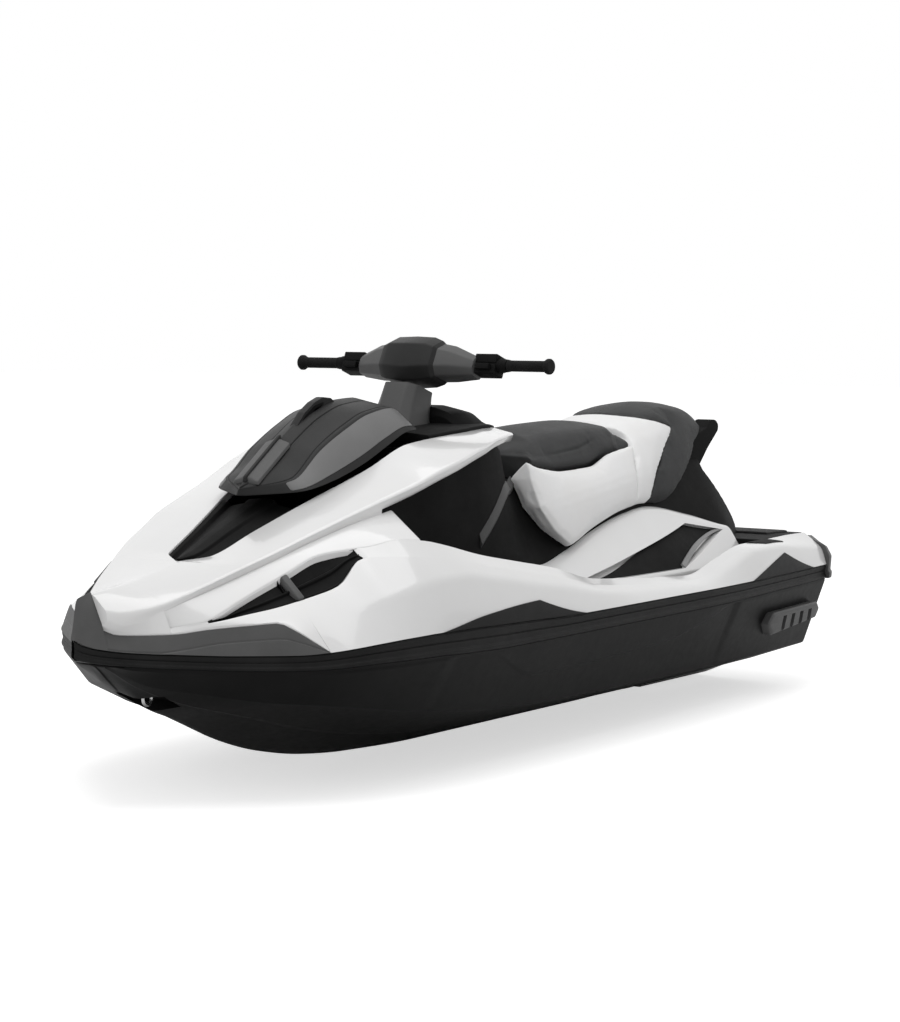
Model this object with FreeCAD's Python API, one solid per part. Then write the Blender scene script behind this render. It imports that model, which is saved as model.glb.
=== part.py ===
import FreeCAD, Part
import math
import os

# Personal watercraft, two seats, jet driven.
# X points to port, Y points aft, Z points up.
# Shapes are drawn with Y = 0 at the bow tip and Z = 0 on the keel line,
# and are moved to the origin, amidships on the waterline, as they are saved.

V = FreeCAD.Vector

# Driving sizes, millimetres and degrees
LENGTH = 3300.0
HALF_BEAM = 610.0
COWL_HEIGHT = 1000.0
DRAFT = 245.0
MIDSHIP_SHARE = 0.5
ORIGIN_FROM_BOW = LENGTH * MIDSHIP_SHARE

# Points of side views are in parts of the length and of the cowl's height
LENGTH_PARTS = 330
HEIGHT_PARTS = 100

RAIL_DEPTH = 50.0
TIP_SEAM_SHARE = 0.45
HULL_STEP = 6.0
PANEL_INSET = 20.0
WALL_LEAN = 12.0
RUN_GAP = 6.0
PIN_GAP = 0.5
BEARING_GAP = 0.05
SEAT_GAP = 0.3
CUT = 40.0
STATION_SLACK = 0.001

# Jet drive
SHAFT_HEIGHT = 120.0
SHAFT_RADIUS = 14.0
SHAFT_BORE_GAP = 6.0
PUMP_RADIUS = 92.0
PUMP_BORE_RADIUS = 78.0
PUMP_WALL = PUMP_RADIUS - PUMP_BORE_RADIUS
PIN_RADIUS = 5.0
BEARING_DEPTH = 40.0

# Openings that pieces of more than one section share
TUNNEL_HALF = 150.0
TUNNEL_HEIGHT = 330.0
ENGINE_LENGTH = 560.0
ENGINE_HALF = 190.0
ENGINE_FOOT = 95.0
ENGINE_HEIGHT = 430.0
TRANSOM_RAKE = 100.0


# Fair lines along the craft

def slopes(u, v):
    steps = [(v[i + 1] - v[i]) / (u[i + 1] - u[i]) for i in range(len(u) - 1)]
    out = [steps[0]]
    for a, b in zip(steps, steps[1:]):
        out.append(0.0 if a * b <= 0 else 2 * a * b / (a + b))
    out.append(steps[-1])
    return out


def fair(u, v):
    m = slopes(u, v)

    def at(q):
        if q <= u[0]:
            return v[0]
        if q >= u[-1]:
            return v[-1]
        i = max(k for k in range(len(u) - 1) if u[k] <= q)
        h = u[i + 1] - u[i]
        t = (q - u[i]) / h
        return (v[i] * (1 + 2 * t) * (1 - t) ** 2 + m[i] * h * t * (1 - t) ** 2
                + v[i + 1] * t * t * (3 - 2 * t) - m[i + 1] * h * t * t * (1 - t))
    return at


class Line:
    """A line along the craft: shares of length, half beam and cowl height."""

    def __init__(self, shares):
        u = [s[0] for s in shares]
        self.side = fair(u, [s[1] for s in shares])
        self.rise = fair(u, [s[2] for s in shares])

    def x(self, y):
        return self.side(y / LENGTH) * HALF_BEAM

    def z(self, y):
        return self.rise(y / LENGTH) * COWL_HEIGHT

    def __call__(self, y):
        return self.x(y), self.z(y)


# Stations, shares of the length, close together where the bow turns
STATION_SHARES = (0.0, 0.005, 0.013, 0.021, 0.031, 0.045, 0.061, 0.082, 0.106, 0.117, 0.125, 0.142, 0.152,
                  0.167, 0.182, 0.206, 0.236, 0.267, 0.318, 0.364, 0.379, 0.382, 0.409, 0.455, 0.503, 0.545,
                  0.591, 0.636, 0.697, 0.742, 0.758, 0.79, 0.818, 0.848, 0.879, 0.909, 0.921, 0.939, 0.985, 1.0)
STATIONS = [s * LENGTH for s in STATION_SHARES]


def station(share):
    return share * LENGTH


Y_TIP = station(0.0)
Y_NOSE_BACK = station(0.005)
Y_NOSE = station(0.021)
Y_STEM = station(0.031)
Y_FLANK = station(0.061)
Y_VENT = station(0.082)
Y_INSERT = station(0.125)
Y_BUMPER_END = station(0.142)
Y_VENT_END = station(0.206)
Y_BIN = station(0.236)
Y_WELL = station(0.267)
Y_BIN_END = station(0.364)
Y_COWL_END = station(0.503)
Y_FENDER = station(0.545)
Y_SPONSON = station(0.818)
Y_BAND = station(0.758)
Y_PLATFORM = station(0.879)
Y_SEAT_END = station(0.921)
Y_PEDESTAL_END = station(0.939)
Y_MAT_END = station(0.985)
Y_STERN = station(1.0)
Y_LID = station(0.206)
Y_LID_END = station(0.379)
Y_CONSOLE_START = station(0.382)
PUMP_FROM_STERN = 540.0
PUMP_START = Y_STERN - PUMP_FROM_STERN
SHAFT_REACH = 440.0
ENGINE_START = PUMP_START - SHAFT_REACH - ENGINE_LENGTH

# Keel and stem
KEEL_SHARES = ((0.0, 0, 0.425), (0.031, 0, 0.385), (0.058, 0, 0.324), (0.091, 0, 0.243), (0.121, 0, 0.204),
               (0.18, 0, 0.116), (0.23, 0, 0.065), (0.285, 0, 0.031), (0.345, 0, 0.012), (0.45, 0, 0.0),
               (1.0, 0, 0.0))
keel = Line(KEEL_SHARES)
# Chine, where the bottom meets the side
CHINE_SHARES = ((0.031, 0.05, 0.387), (0.061, 0.148, 0.327), (0.091, 0.328, 0.304), (0.121, 0.516, 0.281),
                (0.152, 0.669, 0.269), (0.182, 0.738, 0.254), (0.212, 0.772, 0.239), (0.242, 0.80, 0.224),
                (0.288, 0.821, 0.205), (0.345, 0.831, 0.185), (0.45, 0.83, 0.165), (0.6, 0.825, 0.157),
                (0.8, 0.79, 0.150), (1.0, 0.72, 0.145))
chine = Line(CHINE_SHARES)
# Rub rail: its plan, then its lower and upper edge
RAIL_PLAN_SHARES = ((0.0, 0.013), (0.006, 0.033), (0.015, 0.074), (0.030, 0.149), (0.045, 0.23),
                    (0.061, 0.311), (0.091, 0.492), (0.121, 0.68), (0.136, 0.767), (0.152, 0.833),
                    (0.182, 0.902), (0.212, 0.941), (0.242, 0.964), (0.288, 0.985), (0.333, 0.995),
                    (0.394, 0.997), (0.5, 0.992), (0.6, 0.985), (0.7, 0.978), (0.758, 0.962),
                    (0.818, 0.934), (0.879, 0.898), (0.939, 0.861), (1.0, 0.82))
rail_plan = fair(*zip(*RAIL_PLAN_SHARES))
LOW_RISE_SHARES = ((0.0, 0.42), (0.006, 0.410), (0.015, 0.402), (0.03, 0.394), (0.061, 0.382),
                   (0.091, 0.375), (0.121, 0.372), (0.152, 0.376), (0.182, 0.380), (0.242, 0.379),
                   (0.288, 0.374), (0.35, 0.370), (1.0, 0.370))
low_rise = fair(*zip(*LOW_RISE_SHARES))
TOP_RISE_SHARES = ((0.0, 0.467), (0.006, 0.453), (0.015, 0.441), (0.03, 0.431), (0.061, 0.421),
                   (0.091, 0.415), (0.121, 0.414), (0.152, 0.424), (0.182, 0.434), (0.212, 0.440),
                   (0.25, 0.443), (0.288, 0.443), (0.333, 0.440), (0.394, 0.435), (0.455, 0.429),
                   (0.7, 0.427), (1.0, 0.419))
top_rise = fair(*zip(*TOP_RISE_SHARES))


def rail_x(y):
    return rail_plan(y / LENGTH) * HALF_BEAM


def rail_low(y):
    return rail_x(y), low_rise(y / LENGTH) * COWL_HEIGHT


def rail_top(y):
    return rail_x(y), top_rise(y / LENGTH) * COWL_HEIGHT


def deck_z(y):
    return top_rise(y / LENGTH) * COWL_HEIGHT


def behind_rail(line):
    """The seam between the rail and the deck; near the tip it is a share of the width."""
    return lambda y: (max(line(y)[0] - RAIL_DEPTH, line(y)[0] * TIP_SEAM_SHARE), line(y)[1])


def inside(line, inset):
    """The same line moved towards the centreline, never across it."""
    def moved(y):
        x, z = line(y)
        return max(x - inset, 0.0), z
    return moved


def raised(line, rise):
    return lambda y: (line(y)[0], line(y)[1] + rise)


def on_deck(line, inset=0.0):
    """The foot of a line on the deck plane."""
    return lambda y: (max(line(y)[0] - inset, 0.0), deck_z(y))


# Upper edge of the bow bumper, which then drops to the rail
BUMPER_EDGE_SHARES = ((0.021, 0.055, 0.495), (0.031, 0.103, 0.478), (0.045, 0.178, 0.476),
                      (0.061, 0.265, 0.477), (0.082, 0.388, 0.489), (0.106, 0.538, 0.499),
                      (0.117, 0.607, 0.503), (0.125, 0.664, 0.484), (0.142, 0.787, 0.422))
bumper_edge = Line(BUMPER_EDGE_SHARES)
# Nose ridge of the bumper and the crown of the cowl ahead of the insert
CROWN_SHARES = ((0.0, 0, 0.50), (0.005, 0, 0.574), (0.011, 0, 0.580), (0.021, 0, 0.588), (0.061, 0, 0.600),
                (0.125, 0, 0.640), (0.142, 0, 0.655))
crown = Line(CROWN_SHARES)
# Crest of the flank
CREST_SHARES = ((0.061, 0.254, 0.481), (0.082, 0.39, 0.492), (0.106, 0.545, 0.497), (0.125, 0.625, 0.501),
                (0.142, 0.675, 0.505), (0.152, 0.705, 0.508), (0.182, 0.79, 0.529), (0.212, 0.868, 0.556),
                (0.242, 0.925, 0.58), (0.264, 0.946, 0.588), (0.288, 0.952, 0.588), (0.333, 0.962, 0.567),
                (0.394, 0.964, 0.535), (0.455, 0.962, 0.504), (0.515, 0.957, 0.474), (0.576, 0.951, 0.455),
                (0.636, 0.951, 0.448), (0.697, 0.948, 0.445), (0.758, 0.923, 0.482), (0.818, 0.902, 0.522),
                (0.879, 0.866, 0.518), (0.939, 0.828, 0.498), (1.0, 0.789, 0.476))
crest = Line(CREST_SHARES)
# Upper edge of the flank: top of the side vent, then of the gunwale
GUNWALE_SHARES = ((0.061, 0.236, 0.487), (0.082, 0.375, 0.507), (0.106, 0.425, 0.547),
                  (0.125, 0.46, 0.578), (0.142, 0.495, 0.605), (0.152, 0.512, 0.62), (0.182, 0.562, 0.662),
                  (0.206, 0.625, 0.672), (0.222, 0.68, 0.677), (0.242, 0.74, 0.692), (0.267, 0.79, 0.686),
                  (0.288, 0.822, 0.671), (0.333, 0.848, 0.633), (0.394, 0.849, 0.596),
                  (0.455, 0.848, 0.560), (0.515, 0.843, 0.512), (0.576, 0.836, 0.494),
                  (0.636, 0.836, 0.481), (0.697, 0.833, 0.468), (0.758, 0.815, 0.505),
                  (0.818, 0.787, 0.535), (0.879, 0.751, 0.533), (0.939, 0.713, 0.533), (1.0, 0.674, 0.528))
gunwale = Line(GUNWALE_SHARES)
# Lower edge of the side vent, then halfway down the flank's chamfer
VENT_LOW_SHARES = ((0.061, 0.245, 0.484), (0.082, 0.381, 0.501), (0.106, 0.462, 0.535),
                   (0.125, 0.52, 0.551), (0.142, 0.57, 0.566), (0.152, 0.597, 0.576), (0.182, 0.66, 0.622),
                   (0.206, 0.678, 0.656), (0.222, 0.74, 0.651), (0.242, 0.82, 0.648), (0.267, 0.865, 0.64),
                   (0.288, 0.887, 0.63), (0.333, 0.907, 0.602), (0.394, 0.908, 0.567),
                   (0.455, 0.907, 0.533), (0.515, 0.902, 0.494), (0.576, 0.895, 0.4755),
                   (0.636, 0.895, 0.4655), (0.697, 0.892, 0.4575), (0.758, 0.868, 0.4945),
                   (0.818, 0.844, 0.5295), (0.879, 0.808, 0.5265), (0.939, 0.77, 0.5165),
                   (1.0, 0.731, 0.503))
vent_low = Line(VENT_LOW_SHARES)
# Crest of the cowl and the foot of its undercut
COWL_CREST_SHARES = ((0.021, 0.09, 0.538), (0.031, 0.135, 0.533), (0.045, 0.185, 0.54),
                     (0.061, 0.23, 0.552), (0.091, 0.311, 0.592), (0.121, 0.377, 0.632),
                     (0.152, 0.443, 0.672), (0.182, 0.487, 0.707), (0.212, 0.533, 0.742),
                     (0.242, 0.562, 0.771), (0.273, 0.59, 0.800), (0.303, 0.623, 0.829),
                     (0.333, 0.65, 0.862), (0.364, 0.67, 0.893), (0.394, 0.672, 0.922),
                     (0.424, 0.65, 0.943), (0.455, 0.60, 0.950), (0.485, 0.51, 0.945),
                     (0.503, 0.43, 0.936))
cowl_crest = Line(COWL_CREST_SHARES)
UNDERCUT_SHARES = ((0.021, 0.095, 0.515), (0.031, 0.140, 0.500), (0.061, 0.223, 0.535),
                   (0.082, 0.275, 0.562), (0.091, 0.295, 0.573), (0.121, 0.36, 0.610),
                   (0.152, 0.43, 0.650), (0.182, 0.472, 0.684), (0.212, 0.517, 0.716),
                   (0.242, 0.545, 0.742), (0.273, 0.57, 0.768), (0.303, 0.60, 0.797),
                   (0.333, 0.625, 0.830), (0.364, 0.645, 0.862), (0.394, 0.647, 0.892),
                   (0.424, 0.62, 0.915), (0.455, 0.57, 0.924), (0.485, 0.48, 0.920), (0.503, 0.40, 0.912))
undercut = Line(UNDERCUT_SHARES)
# Edge of the opening along the middle of the cowl
OPENING_SHARES = ((0.125, 0.006, 0.64), (0.142, 0.126, 0.655), (0.182, 0.172, 0.709),
                  (0.236, 0.243, 0.781), (0.267, 0.283, 0.82), (0.303, 0.328, 0.866),
                  (0.348, 0.382, 0.932), (0.424, 0.393, 0.953), (0.485, 0.36, 0.962), (0.503, 0.33, 0.955))
opening = Line(OPENING_SHARES)
# Pedestal that carries the saddle: foot, knee and top
PEDESTAL_FOOT_SHARES = ((0.267, 0.44, 0.43), (0.333, 0.47, 0.43), (0.455, 0.48, 0.43), (0.545, 0.50, 0.43),
                        (0.636, 0.52, 0.43), (0.758, 0.54, 0.43), (0.879, 0.56, 0.43), (0.939, 0.44, 0.43))
pedestal_foot = Line(PEDESTAL_FOOT_SHARES)
PEDESTAL_KNEE_SHARES = ((0.267, 0.42, 0.70), (0.333, 0.43, 0.62), (0.455, 0.44, 0.58), (0.503, 0.44, 0.55),
                        (0.545, 0.44, 0.53), (0.591, 0.44, 0.565), (0.636, 0.43, 0.61),
                        (0.697, 0.415, 0.652), (0.745, 0.41, 0.668), (0.818, 0.45, 0.628),
                        (0.879, 0.50, 0.58), (0.939, 0.40, 0.575))
pedestal_knee = Line(PEDESTAL_KNEE_SHARES)
SADDLE_SEAT_SHARES = ((0.267, 0.34, 0.762), (0.333, 0.39, 0.828), (0.394, 0.41, 0.888),
                      (0.455, 0.40, 0.918), (0.503, 0.34, 0.905), (0.545, 0.25, 0.79), (0.636, 0.25, 0.78),
                      (0.697, 0.27, 0.79), (0.758, 0.30, 0.80), (0.879, 0.29, 0.80), (0.939, 0.25, 0.80))
saddle_seat = Line(SADDLE_SEAT_SHARES)


def pedestal_top(y):
    """Under the cowl the pedestal reaches up to it; aft of it the saddle rests on it."""
    x, z = saddle_seat(y)
    return x, undercut.z(y) if y <= Y_COWL_END else z


# White fender over the pedestal's side
FENDER_FOOT_SHARES = ((0.545, 0.64, 0.47), (0.636, 0.71, 0.465), (0.758, 0.72, 0.465), (0.818, 0.69, 0.47),
                      (0.879, 0.62, 0.50))
fender_foot = Line(FENDER_FOOT_SHARES)
FENDER_TOP_SHARES = ((0.545, 0.48, 0.52), (0.591, 0.48, 0.555), (0.636, 0.465, 0.60), (0.697, 0.45, 0.645),
                     (0.745, 0.445, 0.662), (0.818, 0.49, 0.62), (0.879, 0.54, 0.573))
fender_top = Line(FENDER_TOP_SHARES)
# Saddle: lower and outer edge of the bolsters, their top, and the cushions above
BOLSTER_LOW_SHARES = ((0.545, 0.49, 0.545), (0.591, 0.505, 0.575), (0.636, 0.49, 0.62),
                      (0.697, 0.47, 0.665), (0.742, 0.455, 0.685), (0.818, 0.45, 0.70))
bolster_low = Line(BOLSTER_LOW_SHARES)
BOLSTER_OUT_SHARES = ((0.545, 0.44, 0.70), (0.636, 0.46, 0.74), (0.742, 0.44, 0.78), (0.818, 0.42, 0.80))
bolster_out = Line(BOLSTER_OUT_SHARES)
BOLSTER_TOP_SHARES = ((0.545, 0.35, 0.862), (0.576, 0.36, 0.838), (0.61, 0.365, 0.823),
                      (0.662, 0.365, 0.829), (0.697, 0.35, 0.866), (0.742, 0.345, 0.885),
                      (0.79, 0.345, 0.895), (0.818, 0.355, 0.90), (0.879, 0.32, 0.90), (0.939, 0.28, 0.88))
bolster_top = Line(BOLSTER_TOP_SHARES)
CUSHION_EDGE_SHARES = ((0.545, 0.24, 0.885), (0.591, 0.245, 0.905), (0.636, 0.245, 0.922),
                       (0.697, 0.245, 0.925), (0.742, 0.25, 0.922), (0.79, 0.255, 0.945),
                       (0.818, 0.26, 0.965), (0.848, 0.26, 0.975), (0.879, 0.24, 0.97),
                       (0.909, 0.21, 0.945), (0.921, 0.19, 0.91))
cushion_edge = Line(CUSHION_EDGE_SHARES)
CUSHION_CROWN_SHARES = ((0.545, 0, 0.905), (0.591, 0, 0.93), (0.636, 0, 0.948), (0.697, 0, 0.954),
                        (0.742, 0, 0.945), (0.79, 0, 0.97), (0.818, 0, 0.99), (0.848, 0, 0.999),
                        (0.879, 0, 0.995), (0.909, 0, 0.975), (0.921, 0, 0.945))
cushion_crown = Line(CUSHION_CROWN_SHARES)


# Solids from lines

def along(parts):
    return parts * LENGTH / LENGTH_PARTS


def up(parts):
    return parts * COWL_HEIGHT / HEIGHT_PARTS


def side_points(shares):
    """Points (y, z) of a side view, from their shares of the length and of the cowl's height."""
    return [(along(y), up(z)) for y, z in shares]


def stations(start, end):
    return [y for y in STATIONS if start - STATION_SLACK <= y <= end + STATION_SLACK]


def ring(y, corners):
    pts = [V(x, y, z) for x, z in corners]
    return Part.makePolygon(pts + [pts[0]])


def skin(start, end, corners):
    """A solid whose corners follow lines from one station to another."""
    wires = [ring(y, [line(y) for line in corners]) for y in stations(start, end)]
    return Part.makeLoft(wires, True, True)


def whole(start, end, corners):
    """Like skin, mirrored across the centreline; corners run keel side to crown."""
    wires = []
    for y in stations(start, end):
        half = [line(y) for line in corners]
        far = [(-x, z) for x, z in reversed(half) if x > 0]
        wires.append(ring(y, half + far))
    return Part.makeLoft(wires, True, True)


def mirrored(shape):
    return shape.mirror(V(0, 0, 0), V(1, 0, 0))


def both(shape):
    return Part.makeCompound([shape, mirrored(shape)])


def fused(shapes):
    return shapes[0].fuse(shapes[1:]).removeSplitter()


def slab(x0, x1, y0, y1, z0, z1):
    return Part.makeBox(x1 - x0, y1 - y0, z1 - z0, V(x0, y0, z0))


def prism_x(points, x0, x1):
    """A side view outline of (y, z) points, drawn out across the craft."""
    pts = [V(x0, y, z) for y, z in points]
    face = Part.Face(Part.makePolygon(pts + [pts[0]]))
    return face.extrude(V(x1 - x0, 0, 0))


def prism_y(points, y0, y1):
    """A cross section of (x, z) points, drawn out along the craft."""
    pts = [V(x, y0, z) for x, z in points]
    face = Part.Face(Part.makePolygon(pts + [pts[0]]))
    return face.extrude(V(0, y1 - y0, 0))


def prism_z(points, z0, z1):
    """A plan outline of (x, y) points, drawn upwards."""
    pts = [V(x, y, z0) for x, y in points]
    face = Part.Face(Part.makePolygon(pts + [pts[0]]))
    return face.extrude(V(0, 0, z1 - z0))


def save(name, shape):
    placed = shape.copy()
    placed.translate(V(0, -ORIGIN_FROM_BOW, -DRAFT))
    placed.exportStep("parts/" + name + ".step")


# Hull and deck

def make_hull():
    rake = prism_x([(Y_STERN - TRANSOM_RAKE, -CUT), (Y_STERN, rail_low(Y_STERN)[1]),
                    (Y_STERN + CUT, rail_low(Y_STERN)[1]), (Y_STERN + CUT, -CUT)], -HALF_BEAM, HALF_BEAM)
    return hull_blank().cut([rake, tunnel_space(), engine_space(), shaft_space(), eye_notch()])


def tunnel_outline(y, half, top):
    pts = [V(-half, y, -CUT), V(-half, y, top - half), V(0, y, top), V(half, y, top - half), V(half, y, -CUT)]
    return Part.Wire([Part.LineSegment(pts[0], pts[1]).toShape(), Part.Arc(pts[1], pts[2], pts[3]).toShape(),
                      Part.LineSegment(pts[3], pts[4]).toShape(), Part.LineSegment(pts[4], pts[0]).toShape()])


INTAKE_HALF = 75.0
DUCT_LENGTH = 390.0
DUCT_MOUTH = 60.0
DUCT_LIP = 20.0
DUCT_THROAT = 120.0
DUCT_BACK = 30.0
DUCT_OVERRUN = 1.0


def tunnel_space():
    """The intake duct, and the open bay that holds the pump."""
    face = Part.Face(tunnel_outline(PUMP_START, TUNNEL_HALF, TUNNEL_HEIGHT))
    bay = face.extrude(V(0, Y_STERN + CUT - PUMP_START, 0))
    start = PUMP_START - DUCT_LENGTH
    roof, foot = SHAFT_HEIGHT + PUMP_BORE_RADIUS, SHAFT_HEIGHT - PUMP_BORE_RADIUS
    duct = [(start, -CUT), (start + DUCT_MOUTH, DUCT_LIP), (PUMP_START - DUCT_THROAT, roof),
            (PUMP_START + DUCT_OVERRUN, roof), (PUMP_START + DUCT_OVERRUN, foot),
            (PUMP_START - DUCT_BACK, DUCT_LIP), (PUMP_START - DUCT_BACK, -CUT)]
    return prism_x(duct, -INTAKE_HALF, INTAKE_HALF).fuse(bay)


def engine_space():
    return slab(-ENGINE_HALF, ENGINE_HALF, ENGINE_START, ENGINE_START + ENGINE_LENGTH,
                ENGINE_FOOT, ENGINE_FOOT + ENGINE_HEIGHT)


def shaft_space():
    start = ENGINE_START + ENGINE_LENGTH
    return Part.makeCylinder(SHAFT_RADIUS + SHAFT_BORE_GAP, PUMP_START - start,
                             V(0, start, SHAFT_HEIGHT), V(0, 1, 0))


def make_engine():
    return engine_space()


def make_deck():
    deck = whole(Y_NOSE_BACK, Y_STERN, [behind_rail(rail_low), behind_rail(rail_top)])
    return deck.cut([engine_space(), bin_outline(-SEAT_GAP, Y_BIN, Y_BIN_END, 0.0)])


def make_rub_rail():
    return skin(Y_TIP, Y_STERN, [rail_low, rail_top, behind_rail(rail_top), behind_rail(rail_low)])


NOSE_SHOULDER_SHARE = 0.62
NOSE_RISE_SHARE = 0.45


def nose_shoulder(y):
    """Half way up the bumper's face, between the rail and the nose ridge."""
    x, z = rail_top(y)
    return x * NOSE_SHOULDER_SHARE, z + (crown.z(y) - z) * NOSE_RISE_SHARE


def make_bow_bumper():
    nose = whole(Y_TIP, Y_NOSE, [rail_top, nose_shoulder, crown])
    strip = skin(Y_NOSE, Y_BUMPER_END, [rail_top, bumper_edge, on_deck(bumper_edge, PANEL_INSET)])
    return fused([nose, strip, mirrored(strip)])


BUMPER_OUT = 10.0
BUMPER_RISE = 30.0
BUMPER_REACH = 58.0


def stern_bumper_corners(out):
    """The bumper's section at the stern, standing out from the rail by the given width."""
    side, low = rail_low(Y_STERN)
    crest_x, crest_z = crest(Y_STERN)
    inner_x, inner_z = gunwale(Y_STERN)
    top = deck_z(Y_STERN)
    return [(side + out, low), (side + out, top + BUMPER_RISE), (crest_x + out, crest_z + out),
            (inner_x, inner_z - BUMPER_OUT), (inner_x, top), (side - RAIL_DEPTH, top), (side - RAIL_DEPTH, low)]


def make_stern_bumper():
    wires = [ring(Y_STERN, stern_bumper_corners(BUMPER_OUT)),
             ring(Y_STERN + BUMPER_REACH, stern_bumper_corners(-BUMPER_OUT))]
    return both(Part.makeLoft(wires, True, True))


# Topsides

def flank_corners(foot_line):
    return [on_deck(foot_line, PANEL_INSET), foot_line, crest, vent_low, gunwale,
            on_deck(gunwale, WALL_LEAN)]


def make_side_panel():
    fore = skin(Y_FLANK, Y_BUMPER_END, flank_corners(bumper_edge))
    aft = skin(Y_BUMPER_END, Y_STERN, flank_corners(rail_top))
    return fused([fore, aft]).cut(vent_space())


VENT_DEPTH = 26.0
VENT_DROP = 13.0


def vent_space():
    deep = inside(gunwale, VENT_DEPTH)
    deep_low = inside(vent_low, VENT_DEPTH)
    back = [raised(deep, -VENT_DROP), raised(deep_low, -VENT_DROP)]
    return skin(Y_VENT, Y_VENT_END, [vent_low, gunwale] + back)


def make_side_vent():
    return both(vent_space())


def make_cowl_side():
    foot = [on_deck(undercut, WALL_LEAN), on_deck(gunwale, WALL_LEAN)]
    wall = skin(Y_FLANK, Y_WELL, foot + [gunwale, undercut])
    return wall.cut(vent_space())


def make_cowl():
    nose_lines = [on_deck(bumper_edge, PANEL_INSET), bumper_edge, undercut, cowl_crest, crown]
    nose = whole(Y_NOSE, Y_FLANK, nose_lines)
    fore = whole(Y_FLANK, Y_INSERT, [on_deck(undercut, WALL_LEAN), undercut, cowl_crest, crown])
    side_lines = [on_deck(opening), on_deck(undercut, WALL_LEAN), undercut, cowl_crest, opening]
    side = skin(Y_INSERT, Y_WELL, side_lines)
    wing = skin(Y_WELL, Y_COWL_END, [wing_root, undercut, cowl_crest, opening])
    return fused([nose, fore, side, mirrored(side), wing, mirrored(wing)])


def wing_root(y):
    return opening.x(y), undercut.z(y)


INSERT_SINK = 14.0


def make_cowl_insert():
    def edge(y):
        x, z = opening(y)
        return x, z - min(INSERT_SINK, x)

    def ridge(y):
        return 0.0, opening.z(y) + INSERT_SINK / 2

    panel = whole(Y_INSERT, Y_BIN, [on_deck(opening), edge, ridge])
    return panel.fuse(lid_bearings())


BIN_WALL = 5.0
BIN_RIM_DROP = 22.0
CATCH_HALF = 60.0
BIN_GAP = 3.0
BIN_SINK = 5.5


def bin_outline(grow, start, end, drop):
    def foot(y):
        return opening.x(y) - BIN_GAP - grow, deck_z(y) + grow - BIN_SINK

    def rim(y):
        return opening.x(y) - BIN_GAP - grow, opening.z(y) - drop

    return whole(start, end, [foot, rim])


def make_storage_bin():
    shell = bin_outline(0.0, Y_BIN, Y_BIN_END, BIN_RIM_DROP)
    room = bin_outline(BIN_WALL, Y_BIN, Y_BIN_END, -CUT)
    ends = slab(-HALF_BEAM, HALF_BEAM, Y_BIN + BIN_WALL, Y_BIN_END - BIN_WALL, 0.0, COWL_HEIGHT)
    fall = (lid_spine.z(Y_BIN_END) - lid_facet.z(Y_BIN_END)) * CATCH_HALF / (lid_facet.x(Y_BIN_END) - LID_WALL)
    catch = slab(-CATCH_HALF, CATCH_HALF, Y_BIN_END - BIN_WALL, Y_BIN_END, deck_z(Y_BIN_END),
                 lid_spine.z(Y_BIN_END) - LID_WALL - fall - 3 * SEAT_GAP)
    return shell.cut(room.common(ends)).fuse(catch)


LID_EDGE_SHARES = ((0.206, 0.02, 0.800), (0.236, 0.262, 0.815), (0.267, 0.30, 0.840),
                   (0.303, 0.325, 0.882), (0.333, 0.345, 0.930), (0.364, 0.34, 0.965),
                   (0.379, 0.33, 0.968))
lid_edge = Line(LID_EDGE_SHARES)
LID_FACET_SHARES = ((0.206, 0.01, 0.818), (0.236, 0.20, 0.850), (0.267, 0.20, 0.925),
                    (0.303, 0.205, 0.985), (0.333, 0.21, 1.022), (0.364, 0.215, 1.035),
                    (0.379, 0.215, 1.020))
lid_facet = Line(LID_FACET_SHARES)
LID_SPINE_SHARES = ((0.206, 0, 0.825), (0.236, 0, 0.895), (0.267, 0, 0.965), (0.303, 0, 1.030),
                    (0.333, 0, 1.055), (0.364, 0, 1.060), (0.379, 0, 1.048))
lid_spine = Line(LID_SPINE_SHARES)
LID_PIN = V(0.0, along(69.0), up(78.8))
LID_PIN_HALF = 36.0
LID_WEB_HALF = 25.0
LID_WALL = 12.0
LID_CHEEK_WALL = 3.0


def make_storage_lid():
    def low(line):
        return lambda y: (max(line(y)[0] - LID_WALL, 0.0), line(y)[1] - LID_WALL)

    outer = whole(Y_LID, Y_LID_END, [lid_edge, lid_facet, lid_spine])
    inner = whole(Y_LID, Y_LID_END, [low(lid_edge), low(lid_facet), low(lid_spine)])
    fore = slab(-HALF_BEAM, HALF_BEAM, Y_BIN, Y_LID_END - LID_WALL, 0.0, 2 * COWL_HEIGHT)
    web = slab(-LID_WEB_HALF, LID_WEB_HALF, LID_PIN.y - PIN_RADIUS, LID_PIN.y + LID_WALL, LID_PIN.z - PIN_RADIUS,
               lid_edge.z(Y_BIN))
    pin = Part.makeCylinder(PIN_RADIUS, 2 * LID_PIN_HALF, V(-LID_PIN_HALF, LID_PIN.y, LID_PIN.z), V(1, 0, 0))
    return outer.cut(inner.common(fore)).fuse([web, pin])


def lid_bearings():
    """Two cheeks on the insert that hold the lid's hinge pin."""
    inner = LID_WEB_HALF + PIN_GAP
    width = LID_PIN_HALF + PIN_GAP - inner
    radius = PIN_RADIUS + PIN_GAP + LID_CHEEK_WALL
    leg = slab(inner, inner + width, LID_PIN.y - radius, LID_PIN.y + radius, opening.z(LID_PIN.y) - INSERT_SINK,
               LID_PIN.z)
    eye = Part.makeCylinder(radius, width, V(inner, LID_PIN.y, LID_PIN.z), V(1, 0, 0))
    bore = Part.makeCylinder(PIN_RADIUS + PIN_GAP, LID_PIN_HALF, V(0, LID_PIN.y, LID_PIN.z), V(1, 0, 0))
    cheek = leg.fuse(eye).cut(bore)
    return [cheek, mirrored(cheek)]


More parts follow.
